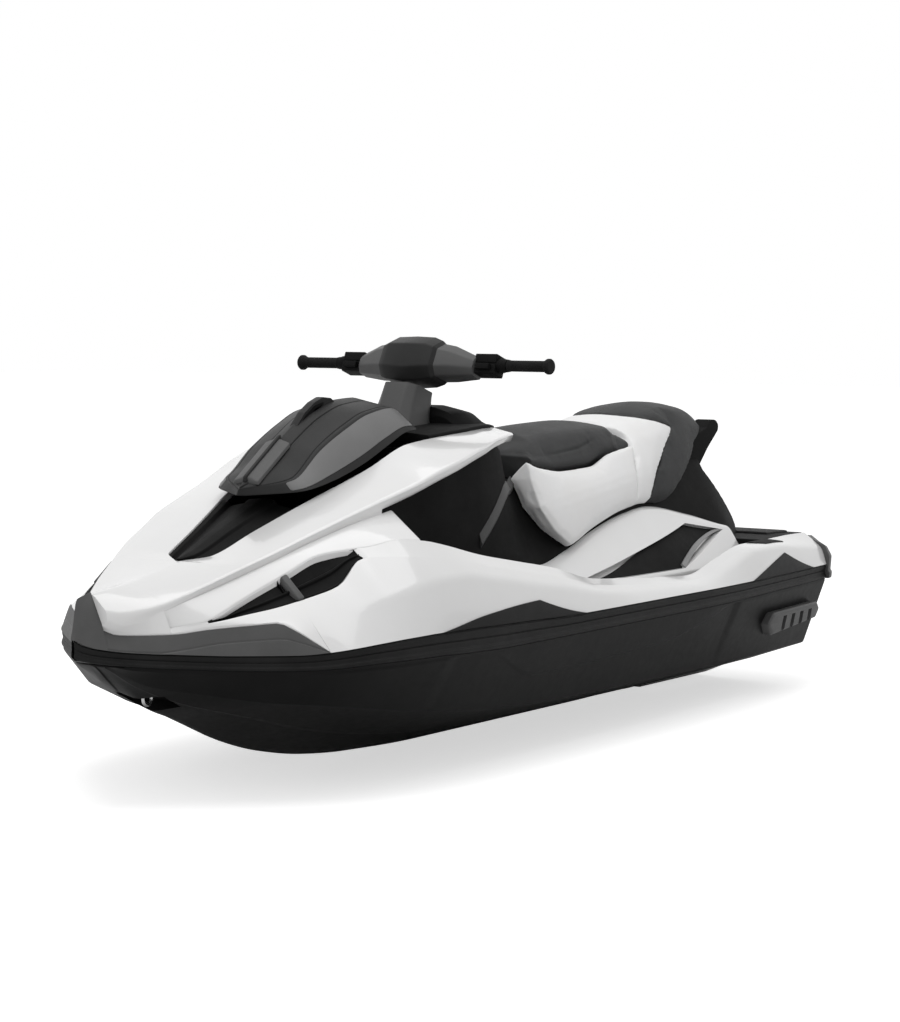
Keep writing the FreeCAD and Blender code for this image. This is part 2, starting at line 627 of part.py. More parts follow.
PEDESTAL_TAIL_SHARES = ((320.0, 54.5), (309.9, 54.5), (306.2, 60.5), (295.0, 76.0), (295.0, 85.0),
                        (320.0, 85.0))


def make_pedestal():
    foot = on_deck(pedestal_foot)
    body = whole(Y_WELL, Y_PEDESTAL_END, [foot, pedestal_knee, pedestal_top])
    tail = side_cut(PEDESTAL_TAIL_SHARES)
    return body.cut([engine_space(), bin_outline(-BIN_GAP, Y_BIN, Y_BIN_END, -CUT), tail])


CONSOLE_RISE = 8.0
CONSOLE_SHARE = 0.6


def make_console():
    def foot(y):
        return opening.x(y) - BIN_GAP, undercut.z(y)

    def edge(y):
        return opening.x(y) - BIN_GAP, opening.z(y) + CONSOLE_RISE

    def top(y):
        return opening.x(y) * CONSOLE_SHARE, opening.z(y) + 2 * CONSOLE_RISE

    return whole(Y_CONSOLE_START, Y_COWL_END, [foot, edge, top])


def make_fender():
    body = skin(Y_FENDER, Y_PLATFORM, [on_deck(pedestal_foot), on_deck(fender_foot), fender_foot, fender_top,
                                       pedestal_knee])
    return body.cut([fender_vent_space(), engine_space()])


FENDER_VENT_DEPTH = 13.0
FENDER_VENT_SHARES = ((188.0, 0.12), (237.0, 0.08), (280.0, 0.82), (250.0, 0.82))


def fender_vent_space():
    """The pocket in the fender: its window in parts of the length and shares of the fender's face."""
    def sunk(line):
        return lambda y: (line(y)[0] - FENDER_VENT_DEPTH, line(y)[1] - FENDER_VENT_DEPTH)

    layer = skin(Y_FENDER, Y_PLATFORM, [fender_foot, fender_top, sunk(fender_top), sunk(fender_foot)])
    window = []
    for part, share in FENDER_VENT_SHARES:
        y = along(part)
        low, high = fender_foot.z(y), fender_top.z(y)
        window.append((y, low + (high - low) * share))
    return layer.common(prism_x(window, 0.0, HALF_BEAM))


def make_fender_vent():
    return both(fender_vent_space())


# Saddle

BAND_FRONT_SHARES = ((238.0, 56.0), (238.0, 68.0), (241.2, 79.0), (247.0, 88.6), (248.5, 102.0))
BAND_BACK_SHARES = ((253.5, 102.0), (254.0, 96.5), (274.5, 91.5), (267.2, 87.0), (254.5, 78.0),
                    (248.3, 71.0), (245.5, 65.0), (244.0, 56.0))
SEAT_TAIL_SHARES = ((258.0, 67.5), (270.0, 74.5), (286.5, 86.0), (301.0, 90.5), (304.1, 93.5),
                    (303.5, 102.0))
PAD_FRONT_SHARES = ((185.0, 70.0), (185.0, 86.0), (193.0, 90.0), (212.0, 102.0))
BOLSTER_FRONT_SHARES = ((185.0, 102.0), (180.0, 86.0), (180.0, 70.0), (195.0, 56.0))


def saddle():
    """The saddle over its whole length, from the bolsters' lower edge to the crown."""
    body = whole(Y_FENDER, Y_SEAT_END, [pedestal_knee, bolster_low, bolster_out, bolster_top, cushion_edge,
                                        cushion_crown])
    return body.cut(make_pedestal())


def side_cut(shares):
    return prism_x(side_points(shares), -HALF_BEAM, HALF_BEAM)


def make_seat_front():
    cushion = whole(Y_FENDER, Y_BAND, [pedestal_top, bolster_top, cushion_edge, cushion_crown])
    return cushion.common(side_cut(PAD_FRONT_SHARES + BAND_FRONT_SHARES[:0:-1]))


def make_bolster():
    body = skin(Y_FENDER, Y_BAND, [pedestal_knee, bolster_low, bolster_out, bolster_top, pedestal_top])
    return body.common(side_cut(BOLSTER_FRONT_SHARES + BAND_FRONT_SHARES))


def make_seat_band():
    return saddle().common(side_cut(BAND_FRONT_SHARES + BAND_BACK_SHARES))


def make_seat_rear():
    return saddle().common(side_cut(SEAT_TAIL_SHARES + BAND_BACK_SHARES[:-1]))


HANDLE_HALF = 175.0
HANDLE_POST_WIDTH = 60.0
HANDLE_RADIUS = 14.0
HANDLE_BAR = (along(308.0), up(90.6))
HANDLE_POST_SHARES = ((270.0, 74.5), (286.5, 86.0), (301.0, 90.5), (304.1, 93.2), (308.0, 92.8),
                      (309.8, 91.2), (309.6, 89.2), (302.0, 83.0), (296.0, 77.0), (295.0, 74.5))


def make_grab_handle():
    post = prism_x(side_points(HANDLE_POST_SHARES), HANDLE_HALF - HANDLE_POST_WIDTH, HANDLE_HALF)
    post = post.cut([make_pedestal(), make_seat_rear()])
    reach = HANDLE_HALF - HANDLE_POST_WIDTH / 2
    bar = Part.makeCylinder(HANDLE_RADIUS, 2 * reach, V(-reach, HANDLE_BAR[0], HANDLE_BAR[1]), V(1, 0, 0))
    return fused([post, mirrored(post), bar])


def make_rear_deck():
    deck = whole(Y_PLATFORM, Y_STERN, [on_deck(gunwale, WALL_LEAN), gunwale])
    return deck.cut(whole(Y_PLATFORM, Y_PEDESTAL_END, [on_deck(pedestal_foot), pedestal_knee, pedestal_top]))


REAR_MAT_HALF = 370.0
MAT_THICK = 8.0
MAT_MARGIN = 14.0


def make_rear_mat():
    edge = on_sole(lambda y: REAR_MAT_HALF)
    return whole(Y_PEDESTAL_END, Y_MAT_END, [edge, raised(edge, MAT_THICK)])


def on_sole(side):
    """A line on the stern platform, as far out as the given function says."""
    return lambda y: (side(y), gunwale.z(y))


def mat_inner(y):
    foot = fender_foot if y >= Y_FENDER - CUT else pedestal_foot
    return foot.x(y) + MAT_MARGIN, deck_z(y)


def mat_outer(y):
    return gunwale.x(y) - WALL_LEAN - MAT_MARGIN, deck_z(y)


def make_footwell_mat():
    return both(skin(Y_BIN_END, Y_PLATFORM, [mat_inner, mat_outer, raised(mat_outer, MAT_THICK),
                                             raised(mat_inner, MAT_THICK)]))


# Steering: a tilted frame whose Z runs up the column

STEER_FOOT = V(0.0, along(144.0), up(97.0))
STEER_TILT = 20.0
STEM_RADIUS = 15.0
STEM_TOP = 168.0
STEM_FOOT = 60.0
NECK_TOP = 116.0
PAD_GAP = 8.0
BAR_RADIUS = 11.0
BAR_SPAN = 930.0
BAR_AFT = 47.0
BAR_UP = 208.0
HOUSING_RADIUS = 27.0
HOUSING_LENGTH = 105.0
GRIP_RADIUS = 17.0
GRIP_LENGTH = 135.0
CAP_RADIUS = 24.0
CAP_LENGTH = 18.0
PAD_HALF = 212.0
NECK_SIZE = 100.0
NECK_FOOT_SHARES = ((0.38, -0.88), (0.75, -0.60), (0.82, 0.30), (0.58, 0.80))
NECK_TOP_SHARES = ((0.40, -0.62), (0.62, -0.35), (0.66, 0.40), (0.44, 0.68))
PAD_SIZE = 200.0
PAD_SECTION_SHARES = (((-0.31, 0.83), (-0.26, 1.21), (0.0, 1.405), (0.31, 1.345),
                       (0.44, 1.035), (0.31, 0.68), (-0.17, 0.65)),
                      ((-0.28, 0.86), (-0.24, 1.205), (0.0, 1.385), (0.31, 1.325),
                       (0.43, 1.035), (0.3, 0.705), (-0.15, 0.69)),
                      ((-0.1, 0.925), (-0.08, 1.155), (0.06, 1.285), (0.31, 1.255),
                       (0.41, 1.035), (0.31, 0.785), (0.0, 0.795)),
                      ((0.05, 0.945), (0.06, 1.065), (0.13, 1.155), (0.31, 1.145),
                       (0.39, 1.035), (0.32, 0.835), (0.11, 0.845)))
PAD_STEP = 70.0
PAD_PLACES = (0.0, PAD_STEP, 2 * PAD_STEP, PAD_HALF)


def tilted(shape):
    placed = shape.copy()
    placed.rotate(V(0, 0, 0), V(1, 0, 0), -STEER_TILT)
    placed.translate(STEER_FOOT)
    return placed


def make_column_cover():
    console_top = opening.z(STEER_FOOT.y)
    foot = [V(NECK_SIZE * x, STEER_FOOT.y + NECK_SIZE * y, console_top) for x, y in NECK_FOOT_SHARES]
    foot += [V(-p.x, p.y, p.z) for p in reversed(foot)]
    top = [V(NECK_SIZE * x, NECK_SIZE * y, NECK_TOP) for x, y in NECK_TOP_SHARES]
    top += [V(-p.x, p.y, p.z) for p in reversed(top)]
    top_wire = tilted(Part.makePolygon(top + [top[0]]))
    neck = Part.makeLoft([Part.makePolygon(foot + [foot[0]]), top_wire], True, True)
    bore = Part.makeCylinder(STEM_RADIUS + PIN_GAP, NECK_TOP, V(0, 0, STEM_FOOT - PAD_GAP))
    return neck.cut([tilted(bore), make_console()])


def make_steering_stem():
    return tilted(Part.makeCylinder(STEM_RADIUS, STEM_TOP - STEM_FOOT, V(0, 0, STEM_FOOT)))


def bar_cylinder(radius, start, end):
    return Part.makeCylinder(radius, end - start, V(start, BAR_AFT, BAR_UP), V(1, 0, 0))


def make_handlebar():
    return tilted(bar_cylinder(BAR_RADIUS, -BAR_SPAN / 2, BAR_SPAN / 2))


def make_bar_pad():
    half = list(zip(PAD_PLACES, PAD_SECTION_SHARES))
    wires = []
    for x, shares in [(-x, section) for x, section in reversed(half[1:])] + half:
        pts = [V(x, PAD_SIZE * y, PAD_SIZE * z) for y, z in shares]
        wires.append(Part.makePolygon(pts + [pts[0]]))
    pad = Part.makeLoft(wires, True, True)
    stem = Part.makeCylinder(STEM_RADIUS, STEM_TOP, V(0, 0, 0))
    return tilted(pad.cut([stem, bar_cylinder(BAR_RADIUS, -BAR_SPAN / 2, BAR_SPAN / 2)]))


def make_switch_housing():
    start = PAD_HALF
    body = bar_cylinder(HOUSING_RADIUS, start, start + HOUSING_LENGTH)
    return tilted(both(body.cut(bar_cylinder(BAR_RADIUS, start, start + HOUSING_LENGTH))))


def make_grip():
    start = PAD_HALF + HOUSING_LENGTH
    end = start + GRIP_LENGTH
    body = bar_cylinder(GRIP_RADIUS, start, end).fuse(bar_cylinder(CAP_RADIUS, end, end + CAP_LENGTH))
    return tilted(both(body.cut(bar_cylinder(BAR_RADIUS, start, BAR_SPAN / 2))))


GAUGE_SIZE = 200.0
GAUGE_SHARES = ((0.38, 0.52, 0.005), (0.50, 0.61, 0.15), (0.80, 0.64, 0.17), (0.98, 0.60, 0.08))
GAUGE_TOP_SHARE = 0.78


def make_gauge():
    """The hooded instrument panel on the console, aft of the column."""
    floor = opening.z(Y_COWL_END)
    wires = []
    for shares in GAUGE_SHARES:
        aft, half, rise = [GAUGE_SIZE * share for share in shares]
        y = STEER_FOOT.y + aft
        top = floor + 2 * CONSOLE_RISE + rise
        edge = [V(half, y, floor), V(half, y, floor + 2 * CONSOLE_RISE + rise / 2),
                V(half * GAUGE_TOP_SHARE, y, top)]
        far = [V(-p.x, p.y, p.z) for p in reversed(edge)]
        wires.append(Part.makePolygon(edge + far + [edge[0]]))
    dome = Part.makeLoft(wires, True, True)
    return dome.cut([make_console(), make_column_cover()])


# Jet drive

BARREL_LENGTH = 120.0
PUMP_CONE = PUMP_START + BARREL_LENGTH
CONE_LENGTH = 90.0
PUMP_END = PUMP_CONE + CONE_LENGTH
OUTLET_RADIUS = 66.0
PIVOT_REACH = 20.0
PIVOT_Y = PUMP_END + PIVOT_REACH
EAR_LOW = 72.0
EAR_HIGH = 80.0
EAR_HALF = 14.0
NOZZLE_SETBACK = 18.0
NOZZLE_LENGTH = 152.0
NOZZLE_START = PIVOT_Y + NOZZLE_SETBACK
NOZZLE_END = NOZZLE_START + NOZZLE_LENGTH
NOZZLE_RADIUS = 64.0
NOZZLE_TIP_RADIUS = 52.0
NOZZLE_WALL = 9.0
BUCKET_SETBACK = 80.0
BUCKET_Y = PIVOT_Y + BUCKET_SETBACK
BUCKET_RADIUS = 120.0
BUCKET_WALL = 8.0
BUCKET_HALF = 70.0
BUCKET_ARM = 6.0
BUCKET_LOW = 38.0
BUCKET_HIGH = 106.0


def cone(r0, r1, y0, y1):
    return Part.makeCone(r0, r1, y1 - y0, V(0, y0, SHAFT_HEIGHT), V(0, 1, 0))


def spindle(radius, y0, y1):
    return Part.makeCylinder(radius, y1 - y0, V(0, y0, SHAFT_HEIGHT), V(0, 1, 0))


def upright(radius, y, z0, z1):
    return Part.makeCylinder(radius, z1 - z0, V(0, y, z0), V(0, 0, 1))


def flat_blade(root, tip, y0, y1, root_turn, tip_turn, thick):
    """A twisted blade between two radii, along +Z above the shaft."""
    middle = (y0 + y1) / 2
    wires = []
    for radius, turn in ((root, root_turn), (tip, tip_turn)):
        half = (y1 - y0) / 2 / math.cos(math.radians(turn))
        along = V(math.sin(math.radians(turn)), math.cos(math.radians(turn)), 0)
        across = V(along.y, -along.x, 0)
        at = V(0, middle, SHAFT_HEIGHT + radius)
        pts = [at + along * (half * a) + across * (thick / 2 * b) for a, b in ((1, 1), (1, -1), (-1, -1), (-1, 1))]
        wires.append(Part.makePolygon(pts + [pts[0]]))
    return Part.makeLoft(wires, True, True)


def spread(shape, count):
    out = []
    for i in range(count):
        turned = shape.copy()
        turned.rotate(V(0, 0, SHAFT_HEIGHT), V(0, 1, 0), 360.0 / count * i)
        out.append(turned)
    return out


IMPELLER_LENGTH = 80.0
IMPELLER_SETBACK = 16.0
IMPELLER_START = PUMP_START + IMPELLER_SETBACK
HUB_RADIUS = 32.0
BLADE_COUNT = 3
BLADE_THICK = 5.0
BLADE_GAP = 3.0
BLADE_ROOT_TURN = 38.0
BLADE_TIP_TURN = 58.0
STATOR_LEAD = 12.0
STATOR_START = PUMP_CONE - STATOR_LEAD
STATOR_TURN = 12.0
VANE_COUNT = 5
VANE_THICK = 4.0


def make_impeller():
    end = IMPELLER_START + IMPELLER_LENGTH
    hub = spindle(HUB_RADIUS, IMPELLER_START, end)
    blade = flat_blade(HUB_RADIUS - BLADE_THICK, PUMP_BORE_RADIUS, IMPELLER_START + BLADE_THICK, end - BLADE_THICK,
                       BLADE_ROOT_TURN, BLADE_TIP_TURN, BLADE_THICK)
    swept = spindle(PUMP_BORE_RADIUS - BLADE_GAP, IMPELLER_START, end)
    wheel = hub.fuse([b.common(swept) for b in spread(blade, BLADE_COUNT)])
    return wheel.cut(spindle(SHAFT_RADIUS, IMPELLER_START, end))


def make_drive_shaft():
    return spindle(SHAFT_RADIUS, ENGINE_START + ENGINE_LENGTH + RUN_GAP, STATOR_START + BEARING_DEPTH)


def make_pump_housing():
    barrel = spindle(PUMP_RADIUS, PUMP_START, PUMP_CONE)
    shell = barrel.fuse(cone(PUMP_RADIUS, OUTLET_RADIUS, PUMP_CONE, PUMP_END))
    bore = spindle(PUMP_BORE_RADIUS, PUMP_START, PUMP_CONE).fuse(
        cone(PUMP_BORE_RADIUS, OUTLET_RADIUS - PUMP_WALL, PUMP_CONE, PUMP_END))
    hub = spindle(HUB_RADIUS, STATOR_START, PUMP_CONE)
    hub = hub.fuse(cone(HUB_RADIUS, SHAFT_RADIUS, PUMP_CONE, PUMP_END))
    vane = flat_blade(SHAFT_RADIUS, PUMP_BORE_RADIUS + PUMP_WALL / 2, STATOR_START, PUMP_END - PUMP_WALL,
                      STATOR_TURN, STATOR_TURN, VANE_THICK)
    vanes = [v.common(bore.fuse(shell)) for v in spread(vane, VANE_COUNT)]
    ear = slab(-EAR_HALF, EAR_HALF, PUMP_CONE + PUMP_WALL, PIVOT_Y + EAR_HALF, SHAFT_HEIGHT + EAR_LOW,
               SHAFT_HEIGHT + EAR_HIGH)
    ears = [ear, slab(-EAR_HALF, EAR_HALF, PUMP_CONE + PUMP_WALL, PIVOT_Y + EAR_HALF, SHAFT_HEIGHT - EAR_HIGH,
                      SHAFT_HEIGHT - EAR_LOW)]
    ears = [e.cut(bore) for e in ears]
    body = shell.cut(bore).fuse([hub] + vanes + ears)
    body = body.cut(spindle(SHAFT_RADIUS + BEARING_GAP, PUMP_START, STATOR_START + BEARING_DEPTH + PIN_GAP))
    return body.cut(upright(PIN_RADIUS + PIN_GAP, PIVOT_Y, 0.0, 2 * SHAFT_HEIGHT).cut(bore))


def make_nozzle():
    shell = cone(NOZZLE_RADIUS, NOZZLE_TIP_RADIUS, NOZZLE_START, NOZZLE_END)
    bore = cone(NOZZLE_RADIUS - NOZZLE_WALL, NOZZLE_TIP_RADIUS - NOZZLE_WALL, NOZZLE_START, NOZZLE_END)
    body = shell.cut(bore)
    lug_low = NOZZLE_RADIUS - NOZZLE_WALL
    lug = slab(-EAR_HALF, EAR_HALF, PIVOT_Y - EAR_HALF, NOZZLE_START + 2 * EAR_HALF, SHAFT_HEIGHT + lug_low,
               SHAFT_HEIGHT + EAR_LOW - PIN_GAP)
    under = slab(-EAR_HALF, EAR_HALF, PIVOT_Y - EAR_HALF, NOZZLE_START + 2 * EAR_HALF,
                 SHAFT_HEIGHT - EAR_LOW + PIN_GAP, SHAFT_HEIGHT - lug_low)
    pins = [upright(PIN_RADIUS, PIVOT_Y, SHAFT_HEIGHT + lug_low, SHAFT_HEIGHT + EAR_HIGH),
            upright(PIN_RADIUS, PIVOT_Y, SHAFT_HEIGHT - EAR_HIGH, SHAFT_HEIGHT - lug_low)]
    reach = BUCKET_HALF
    pivot = Part.makeCylinder(PIN_RADIUS, 2 * reach, V(-reach, BUCKET_Y, SHAFT_HEIGHT), V(1, 0, 0))
    return body.fuse([lug.cut(bore), under.cut(bore)] + pins + [pivot.cut(cone(NOZZLE_RADIUS - NOZZLE_WALL / 2,
                     NOZZLE_TIP_RADIUS - NOZZLE_WALL / 2, NOZZLE_START, NOZZLE_END))])


def make_reverse_bucket():
    outer = Part.makeCylinder(BUCKET_RADIUS + BUCKET_WALL, 2 * BUCKET_HALF, V(-BUCKET_HALF, BUCKET_Y, SHAFT_HEIGHT),
                              V(1, 0, 0))
    inner = Part.makeCylinder(BUCKET_RADIUS, 2 * BUCKET_HALF, V(-BUCKET_HALF, BUCKET_Y, SHAFT_HEIGHT), V(1, 0, 0))
    reach = 2 * BUCKET_RADIUS
    fan = [(BUCKET_Y, SHAFT_HEIGHT)]
    for turn in (BUCKET_LOW, (BUCKET_LOW + BUCKET_HIGH) / 2, BUCKET_HIGH):
        a = math.radians(turn)
        fan.append((BUCKET_Y + reach * math.cos(a), SHAFT_HEIGHT + reach * math.sin(a)))
    shell = outer.cut(inner).common(prism_x(fan, -BUCKET_HALF, BUCKET_HALF))
    arm_fan = prism_x(fan, BUCKET_HALF - BUCKET_ARM, BUCKET_HALF).common(outer)
    eye = Part.makeCylinder(2 * PIN_RADIUS, BUCKET_ARM, V(BUCKET_HALF - BUCKET_ARM, BUCKET_Y, SHAFT_HEIGHT),
                            V(1, 0, 0))
    arm = arm_fan.fuse(eye)
    hole = Part.makeCylinder(PIN_RADIUS + PIN_GAP, 2 * BUCKET_HALF, V(-BUCKET_HALF, BUCKET_Y, SHAFT_HEIGHT),
                             V(1, 0, 0))
    return shell.fuse([arm, mirrored(arm)]).cut(hole)


PLATE_LOW = 12.0
PLATE_RISE = 38.0
PLATE_THICK = 10.0
PLATE_FLAT = 60.0
PLATE_LEAN = 4.0
PLATE_SHORT = 75.0
GRATE_LENGTH = 280.0
GRATE_END = PUMP_START - DUCT_BACK
GRATE_START = GRATE_END - GRATE_LENGTH
GRATE_LOW = 26.0
GRATE_THICK = 9.0
GRATE_BAR = 8.0
GRATE_SLOTS = 4


def make_ride_plate():
    half = [(PLATE_FLAT, PLATE_LOW), (TUNNEL_HALF, PLATE_LOW + PLATE_RISE),
            (TUNNEL_HALF, PLATE_LOW + PLATE_RISE + PLATE_THICK),
            (PLATE_FLAT + PLATE_LEAN, PLATE_LOW + PLATE_THICK)]
    section = half + [(-x, z) for x, z in reversed(half)]
    return prism_y(section, PUMP_START, Y_STERN - PLATE_SHORT)


def make_intake_grate():
    plate = slab(-INTAKE_HALF, INTAKE_HALF, GRATE_START, GRATE_END, GRATE_LOW, GRATE_LOW + GRATE_THICK)
    pitch = (2 * INTAKE_HALF - GRATE_BAR) / GRATE_SLOTS
    slots = [slab(-INTAKE_HALF + GRATE_BAR + i * pitch, -INTAKE_HALF + (i + 1) * pitch, GRATE_START + 2 * GRATE_BAR,
                  GRATE_END - 2 * GRATE_BAR, 0.0, SHAFT_HEIGHT) for i in range(GRATE_SLOTS)]
    return plate.cut(slots)


# Fittings on the hull

SPONSON_PROFILE_SHARES = ((279.0, 23.2), (283.0, 26.8), (318.5, 26.8), (320.5, 25.2), (320.5, 22.8),
                          (286.0, 20.5))
SPONSON_OUT = 34.0
BOW_EYE = V(0.0, along(28.7), up(27.8))
EYE_NOTCH_SHARES = ((24.2, 28.0), (30.2, 23.6), (32.9, 27.2), (26.9, 31.6))
EYE_NOTCH_HALF = 90.0
EYE_RADIUS = 17.0
EYE_WIRE = 5.0
STERN_EYE_SIDE = 330.0
STERN_EYE_HEIGHT = 300.0


def make_sponson():
    def low(y):
        return chine.x(y), chine.z(y)

    def high(y):
        x, z = rail_low(y)
        return x - HULL_STEP, z

    def out(line):
        return lambda y: (line(y)[0] + SPONSON_OUT, line(y)[1])

    layer = skin(Y_SPONSON, Y_STERN, [low, high, out(high), out(low)])
    return both(layer.common(prism_x(side_points(SPONSON_PROFILE_SHARES), 0.0, 2 * HALF_BEAM)))


def make_bow_eye():
    ring_solid = Part.makeTorus(EYE_RADIUS, EYE_WIRE, BOW_EYE, V(1, 0, 0))
    return ring_solid.cut(hull_blank().cut(eye_notch()))


def eye_notch():
    return prism_x(side_points(EYE_NOTCH_SHARES), -EYE_NOTCH_HALF, EYE_NOTCH_HALF)


def hull_blank():
    return whole(Y_STEM, Y_STERN, [keel, chine, inside(rail_low, HULL_STEP)])


def make_stern_eye():
    x, z = STERN_EYE_SIDE, STERN_EYE_HEIGHT
    y = transom_y(z)
    loop = Part.makeTorus(EYE_RADIUS, EYE_WIRE, V(x, y + EYE_RADIUS / 2, z), V(0, 0, 1))
    keep = prism_x([(transom_y(z - CUT), z - CUT), (transom_y(z + CUT), z + CUT), (Y_STERN + 2 * CUT, z + CUT),
                    (Y_STERN + 2 * CUT, z - CUT)], 0.0, HALF_BEAM)
    return both(loop.common(keep))


def transom_y(z):
    top = rail_low(Y_STERN)[1]
    return Y_STERN - TRANSOM_RAKE * (top - z) / (top + CUT)


def make_tow_hook():
    y = Y_STERN
    z = rail_low(Y_STERN)[1] + RAIL_DEPTH
    loop = Part.makeTorus(EYE_RADIUS, EYE_WIRE, V(0, y, z), V(0, 0, 1))
    return loop.common(slab(-CUT, CUT, y, y + CUT, z - CUT, z + CUT))


PIECES = {
    "hull": make_hull, "deck": make_deck, "rub_rail_left": make_rub_rail, "bow_bumper": make_bow_bumper,
    "stern_bumper": make_stern_bumper, "side_panel_left": make_side_panel, "side_vents": make_side_vent,
    "cowl_side_left": make_cowl_side, "cowl": make_cowl, "cowl_insert": make_cowl_insert,
    "storage_bin": make_storage_bin, "storage_lid": make_storage_lid, "pedestal": make_pedestal,
    "console": make_console, "fender_left": make_fender, "fender_vents": make_fender_vent,
    "seat_front": make_seat_front, "seat_bolster_left": make_bolster, "seat_band": make_seat_band,
    "seat_rear": make_seat_rear, "grab_handle": make_grab_handle, "rear_deck": make_rear_deck,
    "rear_mat": make_rear_mat, "footwell_mats": make_footwell_mat, "engine": make_engine,
    "column_cover": make_column_cover, "gauge": make_gauge, "steering_stem": make_steering_stem,
    "handlebar": make_handlebar, "bar_pad": make_bar_pad, "switch_housings": make_switch_housing,
    "grips": make_grip, "impeller": make_impeller, "drive_shaft": make_drive_shaft,
    "pump_housing": make_pump_housing, "nozzle": make_nozzle, "reverse_bucket": make_reverse_bucket,
    "ride_plate": make_ride_plate, "intake_grate": make_intake_grate, "sponsons": make_sponson,
    "bow_eye": make_bow_eye, "stern_eyes": make_stern_eye, "tow_hook": make_tow_hook,
}

os.makedirs("parts", exist_ok=True)
for name, make in PIECES.items():
    shape = make()
    save(name, shape)
    if name.endswith("_left"):
        save(name.replace("_left", "_right"), mirrored(shape))
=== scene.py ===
import math

import bmesh
import bpy
from mathutils import Matrix, Vector


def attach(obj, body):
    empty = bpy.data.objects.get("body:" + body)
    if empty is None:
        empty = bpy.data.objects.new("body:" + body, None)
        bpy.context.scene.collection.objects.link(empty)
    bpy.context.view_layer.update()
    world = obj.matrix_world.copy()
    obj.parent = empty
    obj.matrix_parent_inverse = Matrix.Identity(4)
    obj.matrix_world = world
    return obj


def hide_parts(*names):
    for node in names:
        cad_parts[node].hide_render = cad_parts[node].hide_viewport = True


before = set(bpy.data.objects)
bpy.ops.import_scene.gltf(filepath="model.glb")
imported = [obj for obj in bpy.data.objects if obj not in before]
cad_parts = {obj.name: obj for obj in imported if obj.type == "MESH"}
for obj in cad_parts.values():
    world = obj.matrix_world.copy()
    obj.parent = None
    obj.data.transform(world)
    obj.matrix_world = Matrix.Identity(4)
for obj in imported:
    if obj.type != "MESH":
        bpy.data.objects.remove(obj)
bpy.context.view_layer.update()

# Sizes in metres. Shapes are drawn with y = 0 at the bow tip and z = 0 on the keel line.
LENGTH = 3.300
HALF_BEAM = 0.610
COWL_HEIGHT = 1.000
DRAFT = 0.245
BOW_TO_ORIGIN = LENGTH / 2
RAIL_DEPTH = 0.050
TIP_SEAM_SHARE = 0.45
HULL_STEP = 0.006
PANEL_INSET = 0.020
WALL_LEAN = 0.012
TRANSOM_RAKE = 0.100
STEER_TILT = math.radians(20)
STEER_FOOT = Vector((0, 1.440, 0.970))

# Edge radii, from a hairline to a soft edge
HAIRLINE = 0.001
CRISP = 0.002
FINE = 0.003
EASED = 0.004
SOFT = 0.006
MERGE_DISTANCE = 0.00005
CREASE_ANGLE = 40


# Fair lines along the craft, the same as in the part

def slopes(u, v):
    steps = [(v[i + 1] - v[i]) / (u[i + 1] - u[i]) for i in range(len(u) - 1)]
    middle = [0.0 if a * b <= 0 else 2 * a * b / (a + b) for a, b in zip(steps, steps[1:])]
    return [steps[0]] + middle + [steps[-1]]


def fair(u, v):
    m = slopes(u, v)

    def at(q):
        if q <= u[0]:
            return v[0]
        if q >= u[-1]:
            return v[-1]
        i = max(k for k in range(len(u) - 1) if u[k] <= q)
        h = u[i + 1] - u[i]
        t = (q - u[i]) / h
        return (v[i] * (1 + 2 * t) * (1 - t) ** 2 + m[i] * h * t * (1 - t) ** 2
                + v[i + 1] * t * t * (3 - 2 * t) - m[i + 1] * h * t * t * (1 - t))
    return at


class Line:
    """A line along the craft: shares of length, half beam and cowl height."""

    def __init__(self, shares):
        u = [s[0] for s in shares]
        self.side = fair(u, [s[1] for s in shares])
        self.rise = fair(u, [s[2] for s in shares])

    def x(self, y):
        return self.side(y / LENGTH) * HALF_BEAM

    def z(self, y):
        return self.rise(y / LENGTH) * COWL_HEIGHT

    def __call__(self, y):
        return self.x(y), self.z(y)


keel = Line(((0.0, 0, 0.425), (0.031, 0, 0.385), (0.058, 0, 0.324), (0.091, 0, 0.243), (0.121, 0, 0.204),
             (0.18, 0, 0.116), (0.23, 0, 0.065), (0.285, 0, 0.031), (0.345, 0, 0.012), (0.45, 0, 0.0),
             (1.0, 0, 0.0)))
chine = Line(((0.031, 0.05, 0.387), (0.061, 0.148, 0.327), (0.091, 0.328, 0.304), (0.121, 0.516, 0.281),
              (0.152, 0.669, 0.269), (0.182, 0.738, 0.254), (0.212, 0.772, 0.239), (0.242, 0.80, 0.224),
              (0.288, 0.821, 0.205), (0.345, 0.831, 0.185), (0.45, 0.83, 0.165), (0.6, 0.825, 0.157),
              (0.8, 0.79, 0.150), (1.0, 0.72, 0.145)))
RAIL_PLAN = ((0.0, 0.013), (0.006, 0.033), (0.015, 0.074), (0.030, 0.149), (0.045, 0.23), (0.061, 0.311),
             (0.091, 0.492), (0.121, 0.68), (0.136, 0.767), (0.152, 0.833), (0.182, 0.902), (0.212, 0.941),
             (0.242, 0.964), (0.288, 0.985), (0.333, 0.995), (0.394, 0.997), (0.5, 0.992), (0.6, 0.985),
             (0.7, 0.978), (0.758, 0.962), (0.818, 0.934), (0.879, 0.898), (0.939, 0.861), (1.0, 0.82))
rail_plan = fair([p[0] for p in RAIL_PLAN], [p[1] for p in RAIL_PLAN])
low_rise = fair((0.0, 0.006, 0.015, 0.03, 0.061, 0.091, 0.121, 0.152, 0.182, 0.242, 0.288, 0.35, 1.0),
                (0.42, 0.410, 0.402, 0.394, 0.382, 0.375, 0.372, 0.376, 0.380, 0.379, 0.374, 0.370, 0.370))
